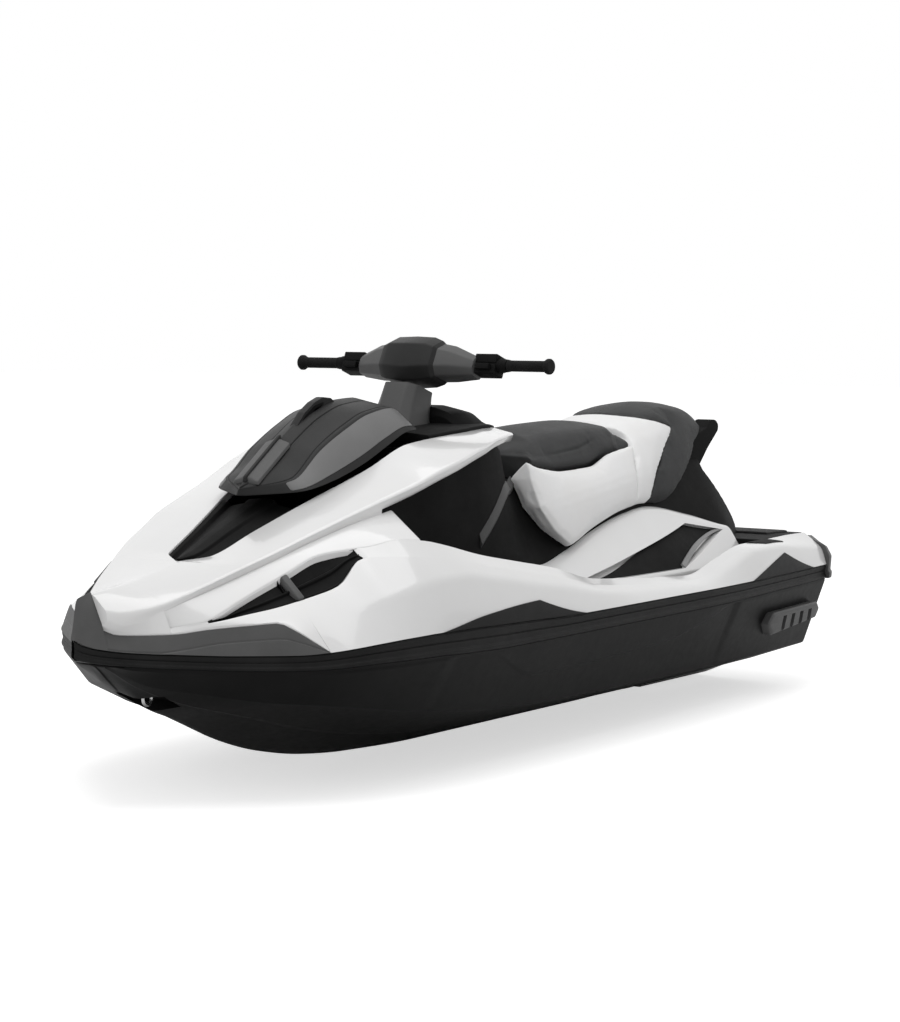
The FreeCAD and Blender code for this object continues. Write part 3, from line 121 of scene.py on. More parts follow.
top_rise = fair((0.0, 0.006, 0.015, 0.03, 0.061, 0.091, 0.121, 0.152, 0.182, 0.212, 0.25, 0.288, 0.333,
                 0.394, 0.455, 0.7, 1.0),
                (0.467, 0.453, 0.441, 0.431, 0.421, 0.415, 0.414, 0.424, 0.434, 0.440, 0.443, 0.443, 0.440,
                 0.435, 0.429, 0.427, 0.419))
bumper_edge = Line(((0.021, 0.055, 0.495), (0.031, 0.103, 0.478), (0.045, 0.178, 0.476),
                    (0.061, 0.265, 0.477), (0.082, 0.388, 0.489), (0.106, 0.538, 0.499),
                    (0.117, 0.607, 0.503), (0.125, 0.664, 0.484), (0.142, 0.787, 0.422)))
crown = Line(((0.0, 0, 0.50), (0.005, 0, 0.574), (0.011, 0, 0.580), (0.021, 0, 0.588), (0.061, 0, 0.600),
              (0.125, 0, 0.640), (0.142, 0, 0.655)))
crest = Line(((0.061, 0.254, 0.481), (0.082, 0.39, 0.492), (0.106, 0.545, 0.497), (0.125, 0.625, 0.501),
              (0.142, 0.675, 0.505), (0.152, 0.705, 0.508), (0.182, 0.79, 0.529), (0.212, 0.868, 0.556),
              (0.242, 0.925, 0.58), (0.264, 0.946, 0.588), (0.288, 0.952, 0.588), (0.333, 0.962, 0.567),
              (0.394, 0.964, 0.535), (0.455, 0.962, 0.504), (0.515, 0.957, 0.474), (0.576, 0.951, 0.455),
              (0.636, 0.951, 0.448), (0.697, 0.948, 0.445), (0.758, 0.923, 0.482), (0.818, 0.902, 0.522),
              (0.879, 0.866, 0.518), (0.939, 0.828, 0.498), (1.0, 0.789, 0.476)))
gunwale = Line(((0.061, 0.236, 0.487), (0.082, 0.375, 0.507), (0.106, 0.425, 0.547), (0.125, 0.46, 0.578),
                (0.142, 0.495, 0.605), (0.152, 0.512, 0.62), (0.182, 0.562, 0.662), (0.206, 0.625, 0.672),
                (0.222, 0.68, 0.677), (0.242, 0.74, 0.692), (0.267, 0.79, 0.686), (0.288, 0.822, 0.671),
                (0.333, 0.848, 0.633), (0.394, 0.849, 0.596), (0.455, 0.848, 0.560), (0.515, 0.843, 0.512),
                (0.576, 0.836, 0.494), (0.636, 0.836, 0.481), (0.697, 0.833, 0.468), (0.758, 0.815, 0.505),
                (0.818, 0.787, 0.535), (0.879, 0.751, 0.533), (0.939, 0.713, 0.533), (1.0, 0.674, 0.528)))
vent_low = Line(((0.061, 0.245, 0.484), (0.082, 0.381, 0.501), (0.106, 0.485, 0.522), (0.125, 0.553, 0.535),
                 (0.142, 0.598, 0.548), (0.152, 0.622, 0.556), (0.182, 0.687, 0.589), (0.206, 0.690, 0.648),
                 (0.222, 0.74, 0.651), (0.242, 0.82, 0.648), (0.267, 0.865, 0.64), (0.288, 0.887, 0.63),
                 (0.333, 0.907, 0.602), (0.394, 0.908, 0.567), (0.455, 0.907, 0.533),
                 (0.515, 0.902, 0.494), (0.576, 0.895, 0.4755), (0.636, 0.895, 0.4655),
                 (0.697, 0.892, 0.4575), (0.758, 0.868, 0.4945), (0.818, 0.844, 0.5295),
                 (0.879, 0.808, 0.5265), (0.939, 0.77, 0.5165), (1.0, 0.731, 0.503)))
cowl_crest = Line(((0.021, 0.09, 0.538), (0.031, 0.135, 0.533), (0.045, 0.185, 0.54), (0.061, 0.23, 0.552),
                   (0.091, 0.311, 0.592), (0.121, 0.377, 0.632), (0.152, 0.443, 0.672),
                   (0.182, 0.487, 0.707), (0.212, 0.533, 0.742), (0.242, 0.562, 0.771),
                   (0.273, 0.59, 0.800), (0.303, 0.623, 0.829), (0.333, 0.65, 0.862), (0.364, 0.67, 0.893),
                   (0.394, 0.672, 0.922), (0.424, 0.65, 0.943), (0.455, 0.60, 0.950), (0.485, 0.51, 0.945),
                   (0.503, 0.43, 0.936)))
undercut = Line(((0.021, 0.095, 0.515), (0.031, 0.140, 0.500), (0.061, 0.223, 0.535), (0.082, 0.275, 0.562),
                 (0.091, 0.295, 0.573), (0.121, 0.36, 0.610), (0.152, 0.43, 0.650), (0.182, 0.472, 0.684),
                 (0.212, 0.517, 0.716), (0.242, 0.545, 0.742), (0.273, 0.57, 0.768), (0.303, 0.60, 0.797),
                 (0.333, 0.625, 0.830), (0.364, 0.645, 0.862), (0.394, 0.647, 0.892), (0.424, 0.62, 0.915),
                 (0.455, 0.57, 0.924), (0.485, 0.48, 0.920), (0.503, 0.40, 0.912)))
opening = Line(((0.125, 0.006, 0.64), (0.142, 0.126, 0.655), (0.182, 0.172, 0.709), (0.236, 0.243, 0.781),
                (0.267, 0.283, 0.82), (0.303, 0.328, 0.866), (0.348, 0.382, 0.932), (0.424, 0.393, 0.953),
                (0.485, 0.36, 0.962), (0.503, 0.33, 0.955)))
pedestal_foot = Line(((0.267, 0.44, 0.43), (0.333, 0.47, 0.43), (0.455, 0.48, 0.43), (0.545, 0.50, 0.43),
                      (0.636, 0.52, 0.43), (0.758, 0.54, 0.43), (0.879, 0.56, 0.43), (0.939, 0.44, 0.43)))
pedestal_knee = Line(((0.267, 0.42, 0.70), (0.333, 0.43, 0.62), (0.455, 0.44, 0.58), (0.503, 0.44, 0.55),
                      (0.545, 0.44, 0.53), (0.591, 0.44, 0.565), (0.636, 0.43, 0.61), (0.697, 0.415, 0.652),
                      (0.745, 0.41, 0.668), (0.818, 0.45, 0.628), (0.879, 0.50, 0.58),
                      (0.939, 0.40, 0.575)))
saddle_seat = Line(((0.267, 0.34, 0.762), (0.333, 0.39, 0.828), (0.394, 0.41, 0.888), (0.455, 0.40, 0.918),
                    (0.503, 0.34, 0.905), (0.545, 0.25, 0.79), (0.636, 0.25, 0.78), (0.697, 0.27, 0.79),
                    (0.758, 0.30, 0.80), (0.879, 0.29, 0.80), (0.939, 0.25, 0.80)))
fender_foot = Line(((0.545, 0.64, 0.47), (0.636, 0.71, 0.465), (0.758, 0.72, 0.465), (0.818, 0.69, 0.47),
                    (0.879, 0.62, 0.50)))
fender_top = Line(((0.545, 0.48, 0.52), (0.591, 0.48, 0.555), (0.636, 0.465, 0.60), (0.697, 0.45, 0.645),
                   (0.745, 0.445, 0.662), (0.818, 0.49, 0.62), (0.879, 0.54, 0.573)))
bolster_low = Line(((0.545, 0.49, 0.545), (0.591, 0.505, 0.575), (0.636, 0.49, 0.62), (0.697, 0.47, 0.665),
                    (0.742, 0.455, 0.685), (0.818, 0.45, 0.70)))
bolster_out = Line(((0.545, 0.44, 0.70), (0.636, 0.46, 0.74), (0.742, 0.44, 0.78), (0.818, 0.42, 0.80)))
bolster_top = Line(((0.545, 0.35, 0.862), (0.576, 0.36, 0.838), (0.61, 0.365, 0.823),
                    (0.662, 0.365, 0.829), (0.697, 0.35, 0.866), (0.742, 0.345, 0.885),
                    (0.79, 0.345, 0.895), (0.818, 0.355, 0.90), (0.879, 0.32, 0.90), (0.939, 0.28, 0.88)))
cushion_edge = Line(((0.545, 0.24, 0.885), (0.591, 0.245, 0.905), (0.636, 0.245, 0.922),
                     (0.697, 0.245, 0.925), (0.742, 0.25, 0.922), (0.79, 0.255, 0.945),
                     (0.818, 0.26, 0.965), (0.848, 0.26, 0.975), (0.879, 0.24, 0.97), (0.909, 0.21, 0.945),
                     (0.921, 0.19, 0.91)))
cushion_crown = Line(((0.545, 0, 0.905), (0.591, 0, 0.93), (0.636, 0, 0.948), (0.697, 0, 0.954),
                      (0.742, 0, 0.945), (0.79, 0, 0.97), (0.818, 0, 0.99), (0.848, 0, 0.999),
                      (0.879, 0, 0.995), (0.909, 0, 0.975), (0.921, 0, 0.945)))
lid_edge = Line(((0.206, 0.02, 0.800), (0.236, 0.262, 0.815), (0.267, 0.30, 0.840), (0.303, 0.325, 0.882),
                 (0.333, 0.345, 0.930), (0.364, 0.34, 0.965), (0.379, 0.33, 0.968)))
lid_facet = Line(((0.206, 0.01, 0.818), (0.236, 0.20, 0.850), (0.267, 0.20, 0.925), (0.303, 0.205, 0.985),
                  (0.333, 0.21, 1.022), (0.364, 0.215, 1.035), (0.379, 0.215, 1.020)))
lid_spine = Line(((0.206, 0, 0.825), (0.236, 0, 0.895), (0.267, 0, 0.965), (0.303, 0, 1.030),
                  (0.333, 0, 1.055), (0.364, 0, 1.060), (0.379, 0, 1.048)))


def station(share):
    return share * LENGTH


Y_NOSE = station(0.021)
Y_STEM = station(0.031)
Y_FLANK = station(0.061)
Y_VENT = station(0.082)
Y_INSERT = station(0.125)
Y_BUMPER_END = station(0.142)
Y_VENT_END = station(0.206)
Y_LID = station(0.206)
Y_BIN = station(0.236)
Y_WELL = station(0.267)
Y_BIN_END = station(0.364)
Y_LID_END = station(0.379)
Y_CONSOLE_START = station(0.382)
Y_COWL_END = station(0.503)
Y_FENDER = station(0.545)
Y_BAND = station(0.758)
Y_PLATFORM = station(0.879)
Y_SEAT_END = station(0.921)
Y_PEDESTAL_END = station(0.939)
Y_MAT_END = station(0.985)
Y_STERN = station(1.0)


def rail_x(y):
    return rail_plan(y / LENGTH) * HALF_BEAM


def rail_low(y):
    return rail_x(y), low_rise(y / LENGTH) * COWL_HEIGHT


def rail_top(y):
    return rail_x(y), top_rise(y / LENGTH) * COWL_HEIGHT


def deck_z(y):
    return top_rise(y / LENGTH) * COWL_HEIGHT


def inside(line, inset, drop=0.0):
    return lambda y: (max(line(y)[0] - inset, 0.0), line(y)[1] - drop)


def on_deck(line, inset=0.0):
    return lambda y: (max(line(y)[0] - inset, 0.0), deck_z(y))


def shifted(line, dx, dz):
    return lambda y: (line(y)[0] + dx, line(y)[1] + dz)


def between(low, high, share, lift=0.0):
    """A line at a share of the way from one line to another, lifted off the face between them."""
    def at(y):
        (x0, z0), (x1, z1) = low(y), high(y)
        s = share(y) if callable(share) else share
        run, rise = x1 - x0, z1 - z0
        size = math.hypot(run, rise) or 1.0
        out = lift(y) if callable(lift) else lift
        return x0 + run * s + rise / size * out, z0 + rise * s - run / size * out
    return at


def groove(low, high, share, width, depth):
    """Three lines that make a small channel in the face between two lines."""
    def gap(y):
        (x0, z0), (x1, z1) = low(y), high(y)
        return width / max(math.hypot(x1 - x0, z1 - z0), width)

    def at(y):
        return share(y) if callable(share) else share
    return [between(low, high, lambda y: at(y) - gap(y)), between(low, high, at, -depth),
            between(low, high, lambda y: at(y) + gap(y))]


def plate(low_line, high_line, low, high, under, over):
    """Corners of a thin plate that lies on the face between two lines, from one share to another."""
    return [between(low_line, high_line, low, under), between(low_line, high_line, low, over),
            between(low_line, high_line, high, over), between(low_line, high_line, high, under)]


def mirrored(half):
    """The whole outline of which half is given."""
    return list(half) + [(-x, y) for x, y in reversed(half)]


# Mesh building

def placed(x, y, z):
    return x, y - BOW_TO_ORIGIN, z - DRAFT


def add_piece(name, verts, faces, crease=CREASE_ANGLE):
    mesh = bpy.data.meshes.new(name)
    mesh.from_pydata([tuple(v) for v in verts], [], faces)
    bm = bmesh.new()
    bm.from_mesh(mesh)
    bmesh.ops.remove_doubles(bm, verts=bm.verts, dist=MERGE_DISTANCE)
    bmesh.ops.dissolve_degenerate(bm, dist=MERGE_DISTANCE, edges=bm.edges)
    bmesh.ops.recalc_face_normals(bm, faces=bm.faces)
    bm.to_mesh(mesh)
    bm.free()
    mesh.shade_smooth()
    mesh.set_sharp_from_angle(angle=math.radians(crease))
    piece = bpy.data.objects.new(name, mesh)
    bpy.context.scene.collection.objects.link(piece)
    return piece


def joined(rings):
    """Vertices and faces of a closed skin over rings of points with the same count."""
    n = len(rings[0])
    verts = [p for r in rings for p in r]
    faces = [(i * n + j, i * n + (j + 1) % n, (i + 1) * n + (j + 1) % n, (i + 1) * n + j)
             for i in range(len(rings) - 1) for j in range(n)]
    for start, ring in ((0, rings[0]), ((len(rings) - 1) * n, rings[-1])):
        verts.append([sum(p[k] for p in ring) / n for k in range(3)])
        faces += [(start + j, start + (j + 1) % n, len(verts) - 1) for j in range(n)]
    return verts, faces


def eased_corners(outline, radius, steps=3):
    """The closed outline with a small curve at each corner."""
    out = []
    for i, corner in enumerate(outline):
        r = radius[i] if isinstance(radius, (list, tuple)) else radius
        p = Vector(corner)
        before, after = Vector(outline[i - 1]) - p, Vector(outline[(i + 1) % len(outline)]) - p
        a = p + before.normalized() * min(r, before.length * 0.45) if before.length > 1e-7 else p
        b = p + after.normalized() * min(r, after.length * 0.45) if after.length > 1e-7 else p
        for k in range(steps + 1):
            t = k / steps
            out.append(a * (1 - t) ** 2 + p * (2 * t * (1 - t)) + b * (t * t))
    return out


def moulding_rings(start, end, corners, radius=SOFT, mirror_in=False, step=0.02, ends=0.005, breaks=(),
                   steps=3):
    """Rings of a piece whose corners follow lines; its corners and both its ends are eased."""
    count = max(2, round((end - start) / step))
    ys = sorted({round(start + (end - start) * i / count, 5) for i in range(count + 1)}
                | {round(b, 5) for b in breaks if start < b < end})
    low_end, high_end = ends if isinstance(ends, tuple) else (ends, ends)
    rows = [(y, 0.0) for y in ys if start + low_end < y < end - high_end]
    turns = [math.radians(t) for t in (0, 30, 60, 90)]
    rows = ([(start + low_end * (1 - math.cos(t)), low_end * (1 - math.sin(t))) for t in turns] + rows
            + [(end - high_end * (1 - math.cos(t)), high_end * (1 - math.sin(t))) for t in reversed(turns)])
    shapes = [[line(y) for line in corners] for y, _ in rows]
    radii = list(radius) if isinstance(radius, (list, tuple)) else [radius] * len(corners)
    if mirror_in:
        far = [i for i in reversed(range(len(corners))) if any(half[i][0] > 0 for half in shapes)]
        radii += [radii[i] for i in far]
        shapes = [half + [(-half[i][0], half[i][1]) for i in far] for half in shapes]
    rings = []
    for (y, inset), shape in zip(rows, shapes):
        ring = eased_corners(shape, radii, steps)
        if inset > 0:
            mx, mz = sum(p.x for p in ring) / len(ring), sum(p.y for p in ring) / len(ring)
            wide = max(max(abs(p.x - mx) for p in ring), 1e-6)
            tall = max(max(abs(p.y - mz) for p in ring), 1e-6)
            kx, kz = max(0.0, 1 - inset / wide), max(0.0, 1 - inset / tall)
            ring = [Vector((mx + (p.x - mx) * kx, mz + (p.y - mz) * kz)) for p in ring]
        rings.append([placed(p.x, y, p.y) for p in ring])
    return rings


def moulding(name, start, end, corners, crease=CREASE_ANGLE, **how):
    return add_piece(name, *joined(moulding_rings(start, end, corners, **how)), crease=crease)


def whole(name, start, end, corners, **how):
    return moulding(name, start, end, corners, mirror_in=True, **how)


def mirror_copy(piece, name):
    verts = [(-v.co.x, v.co.y, v.co.z) for v in piece.data.vertices]
    return add_piece(name, verts, [tuple(reversed(p.vertices)) for p in piece.data.polygons])


def pair(name, start, end, corners, crease=CREASE_ANGLE, **how):
    """The same piece on both sides, as one object."""
    verts, faces = joined(moulding_rings(start, end, corners, **how))
    n = len(verts)
    verts = verts + [(-x, y, z) for x, y, z in verts]
    faces = faces + [tuple(n + i for i in reversed(f)) for f in faces]
    return add_piece(name, verts, faces, crease=crease)


def together(name, pieces, crease=CREASE_ANGLE):
    """Several pieces of one moulding as a single object."""
    verts, faces = [], []
    for piece in pieces:
        n = len(verts)
        verts += [tuple(v.co) for v in piece.data.vertices]
        faces += [tuple(n + i for i in p.vertices) for p in piece.data.polygons]
        bpy.data.objects.remove(piece)
    return add_piece(name, verts, faces, crease=crease)


def settled(piece):
    """Turns a piece's modifiers into its mesh."""
    bpy.context.view_layer.update()
    mesh = bpy.data.meshes.new_from_object(piece.evaluated_get(bpy.context.evaluated_depsgraph_get()))
    piece.modifiers.clear()
    piece.data = mesh
    return piece


def carved(piece, rooms, operation):
    """Takes rooms out of a piece, or keeps what is inside them, then removes the rooms."""
    for room in rooms:
        tool = piece.modifiers.new("carving", "BOOLEAN")
        tool.operation = operation
        tool.solver = "EXACT"
        tool.object = room
    settled(piece)
    for room in rooms:
        bpy.data.objects.remove(room)
    return piece


def cut_away(piece, rooms):
    carved(piece, rooms, "DIFFERENCE")
    piece.data.shade_smooth()
    piece.data.set_sharp_from_angle(angle=math.radians(CREASE_ANGLE))
    return piece


def kept_in(piece, room):
    return carved(piece, [room], "INTERSECT")


def block(name, outline, x0, x1, radius=0.0):
    """A side view outline of (y, z) points drawn out across the craft."""
    ring = eased_corners(outline, radius) if radius else [Vector(p) for p in outline]
    edge = min(radius, abs(x1 - x0) / 3)
    my = sum(p.x for p in ring) / len(ring)
    mz = sum(p.y for p in ring) / len(ring)
    rings = []
    eased = ((x0, edge), (x0 + edge, 0.0), (x1 - edge, 0.0), (x1, edge))
    for x, inset in eased if radius else ((x0, 0.0), (x1, 0.0)):
        size = max(max(abs(p.x - my), abs(p.y - mz)) for p in ring)
        k = 1 - inset / size
        rings.append([placed(x, my + (p.x - my) * k, mz + (p.y - mz) * k) for p in ring])
    return add_piece(name, *joined(rings))


def tilted(x, y, z):
    """From the steering frame to the craft: the column leans aft."""
    c, s = math.cos(STEER_TILT), math.sin(STEER_TILT)
    return placed(x + STEER_FOOT.x, y * c + z * s + STEER_FOOT.y, -y * s + z * c + STEER_FOOT.z)


# Finishes

def node(tree, kind, inputs=None, **values):
    made = tree.nodes.new(kind)
    for key, value in values.items():
        setattr(made, key, value)
    for key, value in (inputs or {}).items():
        if isinstance(value, bpy.types.NodeSocket):
            tree.links.new(value, made.inputs[key])
        else:
            made.inputs[key].default_value = value
    return made


def effect(name, sockets_in, sockets_out):
    """An empty shader node group with named sockets, its input node and its output node."""
    tree = bpy.data.node_groups.new(name, "ShaderNodeTree")
    for label, kind, default in sockets_in:
        socket = tree.interface.new_socket(name=label, in_out="INPUT", socket_type=kind)
        if default is not None:
            socket.default_value = default
    for label, kind in sockets_out:
        tree.interface.new_socket(name=label, in_out="OUTPUT", socket_type=kind)
    return tree, tree.nodes.new("NodeGroupInput"), tree.nodes.new("NodeGroupOutput")


NUMBER, COLOUR = "NodeSocketFloat", "NodeSocketColor"
SMEAR_SCALE = 38.0


def noise_at(tree, where, scale, detail=4.0, rough=0.55):
    return node(tree, "ShaderNodeTexNoise", {"Vector": where, "Scale": scale, "Detail": detail,
                                             "Roughness": rough}).outputs["Fac"]


def maths(tree, operation, *values):
    return node(tree, "ShaderNodeMath", dict(enumerate(values)), operation=operation).outputs[0]


def ranged(tree, value, **limits):
    """A value stretched between limits, such as from_min and to_max."""
    inputs = {label.replace("_", " ").title(): limit for label, limit in limits.items()}
    return node(tree, "ShaderNodeMapRange", {"Value": value, **inputs}).outputs["Result"]


def bumped(tree, height, strength, distance, before=None):
    inputs = {"Height": height, "Strength": strength, "Distance": distance}
    if before is not None:
        inputs["Normal"] = before
    return node(tree, "ShaderNodeBump", inputs).outputs["Normal"]


def object_place(tree):
    return node(tree, "ShaderNodeTexCoord").outputs["Object"]


def make_tone_effect():
    """Slow change of colour and gloss, as sun, hands and water leave on plastic."""
    tree, given, out = effect("weathered tone", [
        ("Colour", COLOUR, None), ("Faded Colour", COLOUR, None), ("Patch Scale", NUMBER, 6.0),
        ("Roughness", NUMBER, 0.4), ("Roughness Change", NUMBER, 0.1)], [
        ("Colour", COLOUR), ("Roughness", NUMBER)])
    where = object_place(tree)
    patches = noise_at(tree, where, given.outputs["Patch Scale"])
    wide = ranged(tree, patches, from_min=0.35, from_max=0.7)
    mixed = node(tree, "ShaderNodeMix", {"Factor": wide, 6: given.outputs["Colour"],
                                         7: given.outputs["Faded Colour"]}, data_type="RGBA")
    smears = noise_at(tree, where, SMEAR_SCALE, 6.0, 0.6)
    change = maths(tree, "MULTIPLY", smears, given.outputs["Roughness Change"])
    rough = maths(tree, "ADD", change, given.outputs["Roughness"])
    tree.links.new(mixed.outputs[2], out.inputs["Colour"])
    tree.links.new(rough, out.inputs["Roughness"])
    return tree


def make_grain_effect():
    """The fine pebbled skin of moulded plastic and vinyl."""
    tree, given, out = effect("moulded grain", [
        ("Grain Scale", NUMBER, 900.0), ("Ripple Scale", NUMBER, 20.0)], [
        ("Grain", NUMBER), ("Ripple", NUMBER)])
    where = object_place(tree)
    cells = node(tree, "ShaderNodeTexVoronoi", {"Vector": where, "Scale": given.outputs["Grain Scale"]},
                 feature="SMOOTH_F1")
    fine = noise_at(tree, where, given.outputs["Grain Scale"], 3.0)
    grain = maths(tree, "ADD", cells.outputs["Distance"], fine)
    ripple = noise_at(tree, where, given.outputs["Ripple Scale"], 2.0)
    tree.links.new(grain, out.inputs["Grain"])
    tree.links.new(ripple, out.inputs["Ripple"])
    return tree


def make_tread_effect():
    """Rows of small diamonds pressed into a foam mat."""
    tree, given, out = effect("diamond tread", [("Pitch", NUMBER, 90.0)], [("Height", NUMBER)])
    where = object_place(tree)
    axes = node(tree, "ShaderNodeSeparateXYZ", {"Vector": where})
    waves = []
    for operation in ("ADD", "SUBTRACT"):
        lean = maths(tree, operation, axes.outputs["X"], axes.outputs["Y"])
        turn = maths(tree, "MULTIPLY", lean, given.outputs["Pitch"])
        waves.append(maths(tree, "ABSOLUTE", maths(tree, "SINE", turn)))
    shape = ranged(tree, maths(tree, "MINIMUM", *waves), from_min=0.05, from_max=0.45)
    tree.links.new(shape, out.inputs["Height"])
    return tree


EFFECTS = {"tone": make_tone_effect(), "grain": make_grain_effect(), "tread": make_tread_effect()}


def placed_effect(tree, key, **inputs):
    made = tree.nodes.new("ShaderNodeGroup")
    made.node_tree = EFFECTS[key]
    for label, value in inputs.items():
        made.inputs[label.replace("_", " ")].default_value = value
    return made


def grey(level, warm=0.0):
    return level * (1 + warm), level, level * (1 - warm), 1.0


GRAIN_HEIGHT = 0.0006
RIPPLE_HEIGHT = 0.004
TREAD_HEIGHT = 0.003
TREAD_DEPTH = 0.6


def finish(name, colour, faded, roughness, change=0.12, patch=6.0, grain=900.0, grain_depth=0.15,
           ripple_depth=0.0, ripple=20.0, metallic=0.0, coat=0.0, coat_roughness=0.1, specular=0.5,
           tread=None):
    """A material of the craft: weathered tone, fine grain and slow ripple on one shader."""
    made = bpy.data.materials.new(name)
    made.use_nodes = True
    tree = made.node_tree
    shader = tree.nodes["Principled BSDF"]
    shader.inputs["Metallic"].default_value = metallic
    shader.inputs["Coat Weight"].default_value = coat
    shader.inputs["Coat Roughness"].default_value = coat_roughness
    shader.inputs["Specular IOR Level"].default_value = specular
    tone = placed_effect(tree, "tone", Colour=colour, Faded_Colour=faded, Patch_Scale=patch,
                         Roughness=roughness, Roughness_Change=change)
    skin = placed_effect(tree, "grain", Grain_Scale=grain, Ripple_Scale=ripple)
    tree.links.new(tone.outputs["Colour"], shader.inputs["Base Color"])
    tree.links.new(tone.outputs["Roughness"], shader.inputs["Roughness"])
    normal = bumped(tree, skin.outputs["Grain"], grain_depth, GRAIN_HEIGHT)
    if ripple_depth:
        normal = bumped(tree, skin.outputs["Ripple"], ripple_depth, RIPPLE_HEIGHT, normal)
    if tread:
        pattern = placed_effect(tree, "tread", Pitch=tread)
        normal = bumped(tree, pattern.outputs["Height"], TREAD_DEPTH, TREAD_HEIGHT, normal)
    tree.links.new(normal, shader.inputs["Normal"])
    return made


FINISHES = {
    "gelcoat": finish("white_gelcoat", grey(0.80), grey(0.77, 0.004), 0.16, change=0.10, patch=3.0,
                      grain=260.0, grain_depth=0.03, ripple=9.0, ripple_depth=0.03, coat=0.6,
                      coat_roughness=0.04),
    "hull": finish("hull_black", grey(0.003), grey(0.006), 0.34, change=0.16, patch=4.0, grain=700.0,
                   grain_depth=0.06, ripple=14.0, ripple_depth=0.03, specular=0.10),
    "rail": finish("rail_black", grey(0.006), grey(0.011), 0.44, change=0.14, patch=9.0, grain=1100.0,
                   grain_depth=0.2, specular=0.15),
    "bumper": finish("bumper_charcoal", grey(0.075), grey(0.092), 0.42, patch=7.0, grain=1200.0,
                     grain_depth=0.25, specular=0.3),
    "trim": finish("trim_black", grey(0.004), grey(0.008), 0.55, change=0.14, patch=8.0, grain=1200.0,
                   grain_depth=0.25, specular=0.07),
    "lid": finish("lid_charcoal", grey(0.016), grey(0.022), 0.38, grain=1200.0,
                  grain_depth=0.2, specular=0.15),
    # Painted highlight: a lighter copy of the lid's charcoal, for the lid's side facets where they catch
    # the light
    "lid_highlight_bright": finish("lid_charcoal_painted_highlight", grey(0.135), grey(0.155), 0.38, grain=1200.0,
                       grain_depth=0.2, specular=0.35),
    # Painted highlight: a paler copy of the dark charcoal, for facets that catch the light on the lid's rib
    # flanks, the pedestal ridges, the pad wings and the column cover
    "lid_highlight_soft": finish("lid_charcoal_soft_highlight", grey(0.058), grey(0.070), 0.40, grain=1200.0,
                       grain_depth=0.2, specular=0.35),
    "saddle_dark": finish("saddle_vinyl_dark", grey(0.020, -0.02), grey(0.029, -0.02), 0.54, specular=0.3,
                          patch=8.0, grain=1500.0, grain_depth=0.6, ripple=30.0, ripple_depth=0.08),
    "saddle_white": finish("saddle_vinyl_white", grey(0.90), grey(0.87, 0.006), 0.46, change=0.10,
                           patch=7.0, grain=1500.0, grain_depth=0.5, ripple=26.0, ripple_depth=0.08),
    "pale_lip": finish("lip_grey", grey(0.22), grey(0.26), 0.40, patch=9.0, grain=1100.0,
                       grain_depth=0.2, specular=0.35),
    "mat": finish("mat_foam", grey(0.016), grey(0.026), 0.78, change=0.15, patch=14.0, grain=1600.0,
                  grain_depth=0.8, tread=150.0),
    "grip": finish("grip_rubber", grey(0.007), grey(0.013), 0.66, patch=20.0, grain=1400.0,
                   grain_depth=0.5, specular=0.12),
    "dark_metal": finish("engine_dark", grey(0.05), grey(0.09), 0.45, change=0.2, patch=16.0, grain=500.0,
                         grain_depth=0.4, metallic=0.7),
    "stainless": finish("polished_stainless", grey(0.62), grey(0.50), 0.18, change=0.16, patch=30.0,
                        grain_depth=0.06, metallic=1.0),
    "alloy": finish("cast_alloy", grey(0.42), grey(0.30), 0.40, change=0.2, patch=18.0, grain=420.0,
                    grain_depth=0.5, metallic=0.9),
}


def dress(piece, key, body, slot, *nodes):
    """Gives a piece its finish, the body that it rides on and the nodes it stands for; slot is not used."""
    piece.data.materials.clear()
    piece.data.materials.append(FINISHES[key])
    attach(piece, body)
    if nodes:
        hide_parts(*nodes)
    return piece


def dress_both(port, key, slot, left_node, right_node):
    """Dresses a port piece and its mirrored copy on the starboard side."""
    starboard = mirror_copy(port, port.name.replace("port", "starboard"))
    dress(port, key, "craft", slot, left_node)
    dress(starboard, key, "craft", slot, right_node)


# Hull

crease_rise = fair((0.031, 0.121, 0.30, 0.312, 0.41, 0.63, 0.72, 0.75, 1.0),
                   (0.390, 0.371, 0.372, 0.370, 0.268, 0.284, 0.343, 0.369, 0.369))
TUNNEL_HALF = 0.150
TUNNEL_TOP = 0.330
PUMP_START = 2.760
TRANSOM_BEND = 2.900
DUCT_OUTLINE = ((2.370, -0.04), (2.430, 0.02), (2.640, 0.198), (2.761, 0.198), (2.761, 0.042),
                (2.730, 0.02), (2.730, -0.04))
EYE_RECESS = ((0.242, 0.280), (0.302, 0.236), (0.329, 0.272), (0.269, 0.316))
SIDE_CREASE_DEPTH = 0.007
STRAKE_DEPTH = 0.004


def transom_y(z):
    """Where the transom is at a height: its foot is raked forward."""
    top = rail_low(Y_STERN)[1]
    return Y_STERN - TRANSOM_RAKE * (top - z) / (top + 0.04)


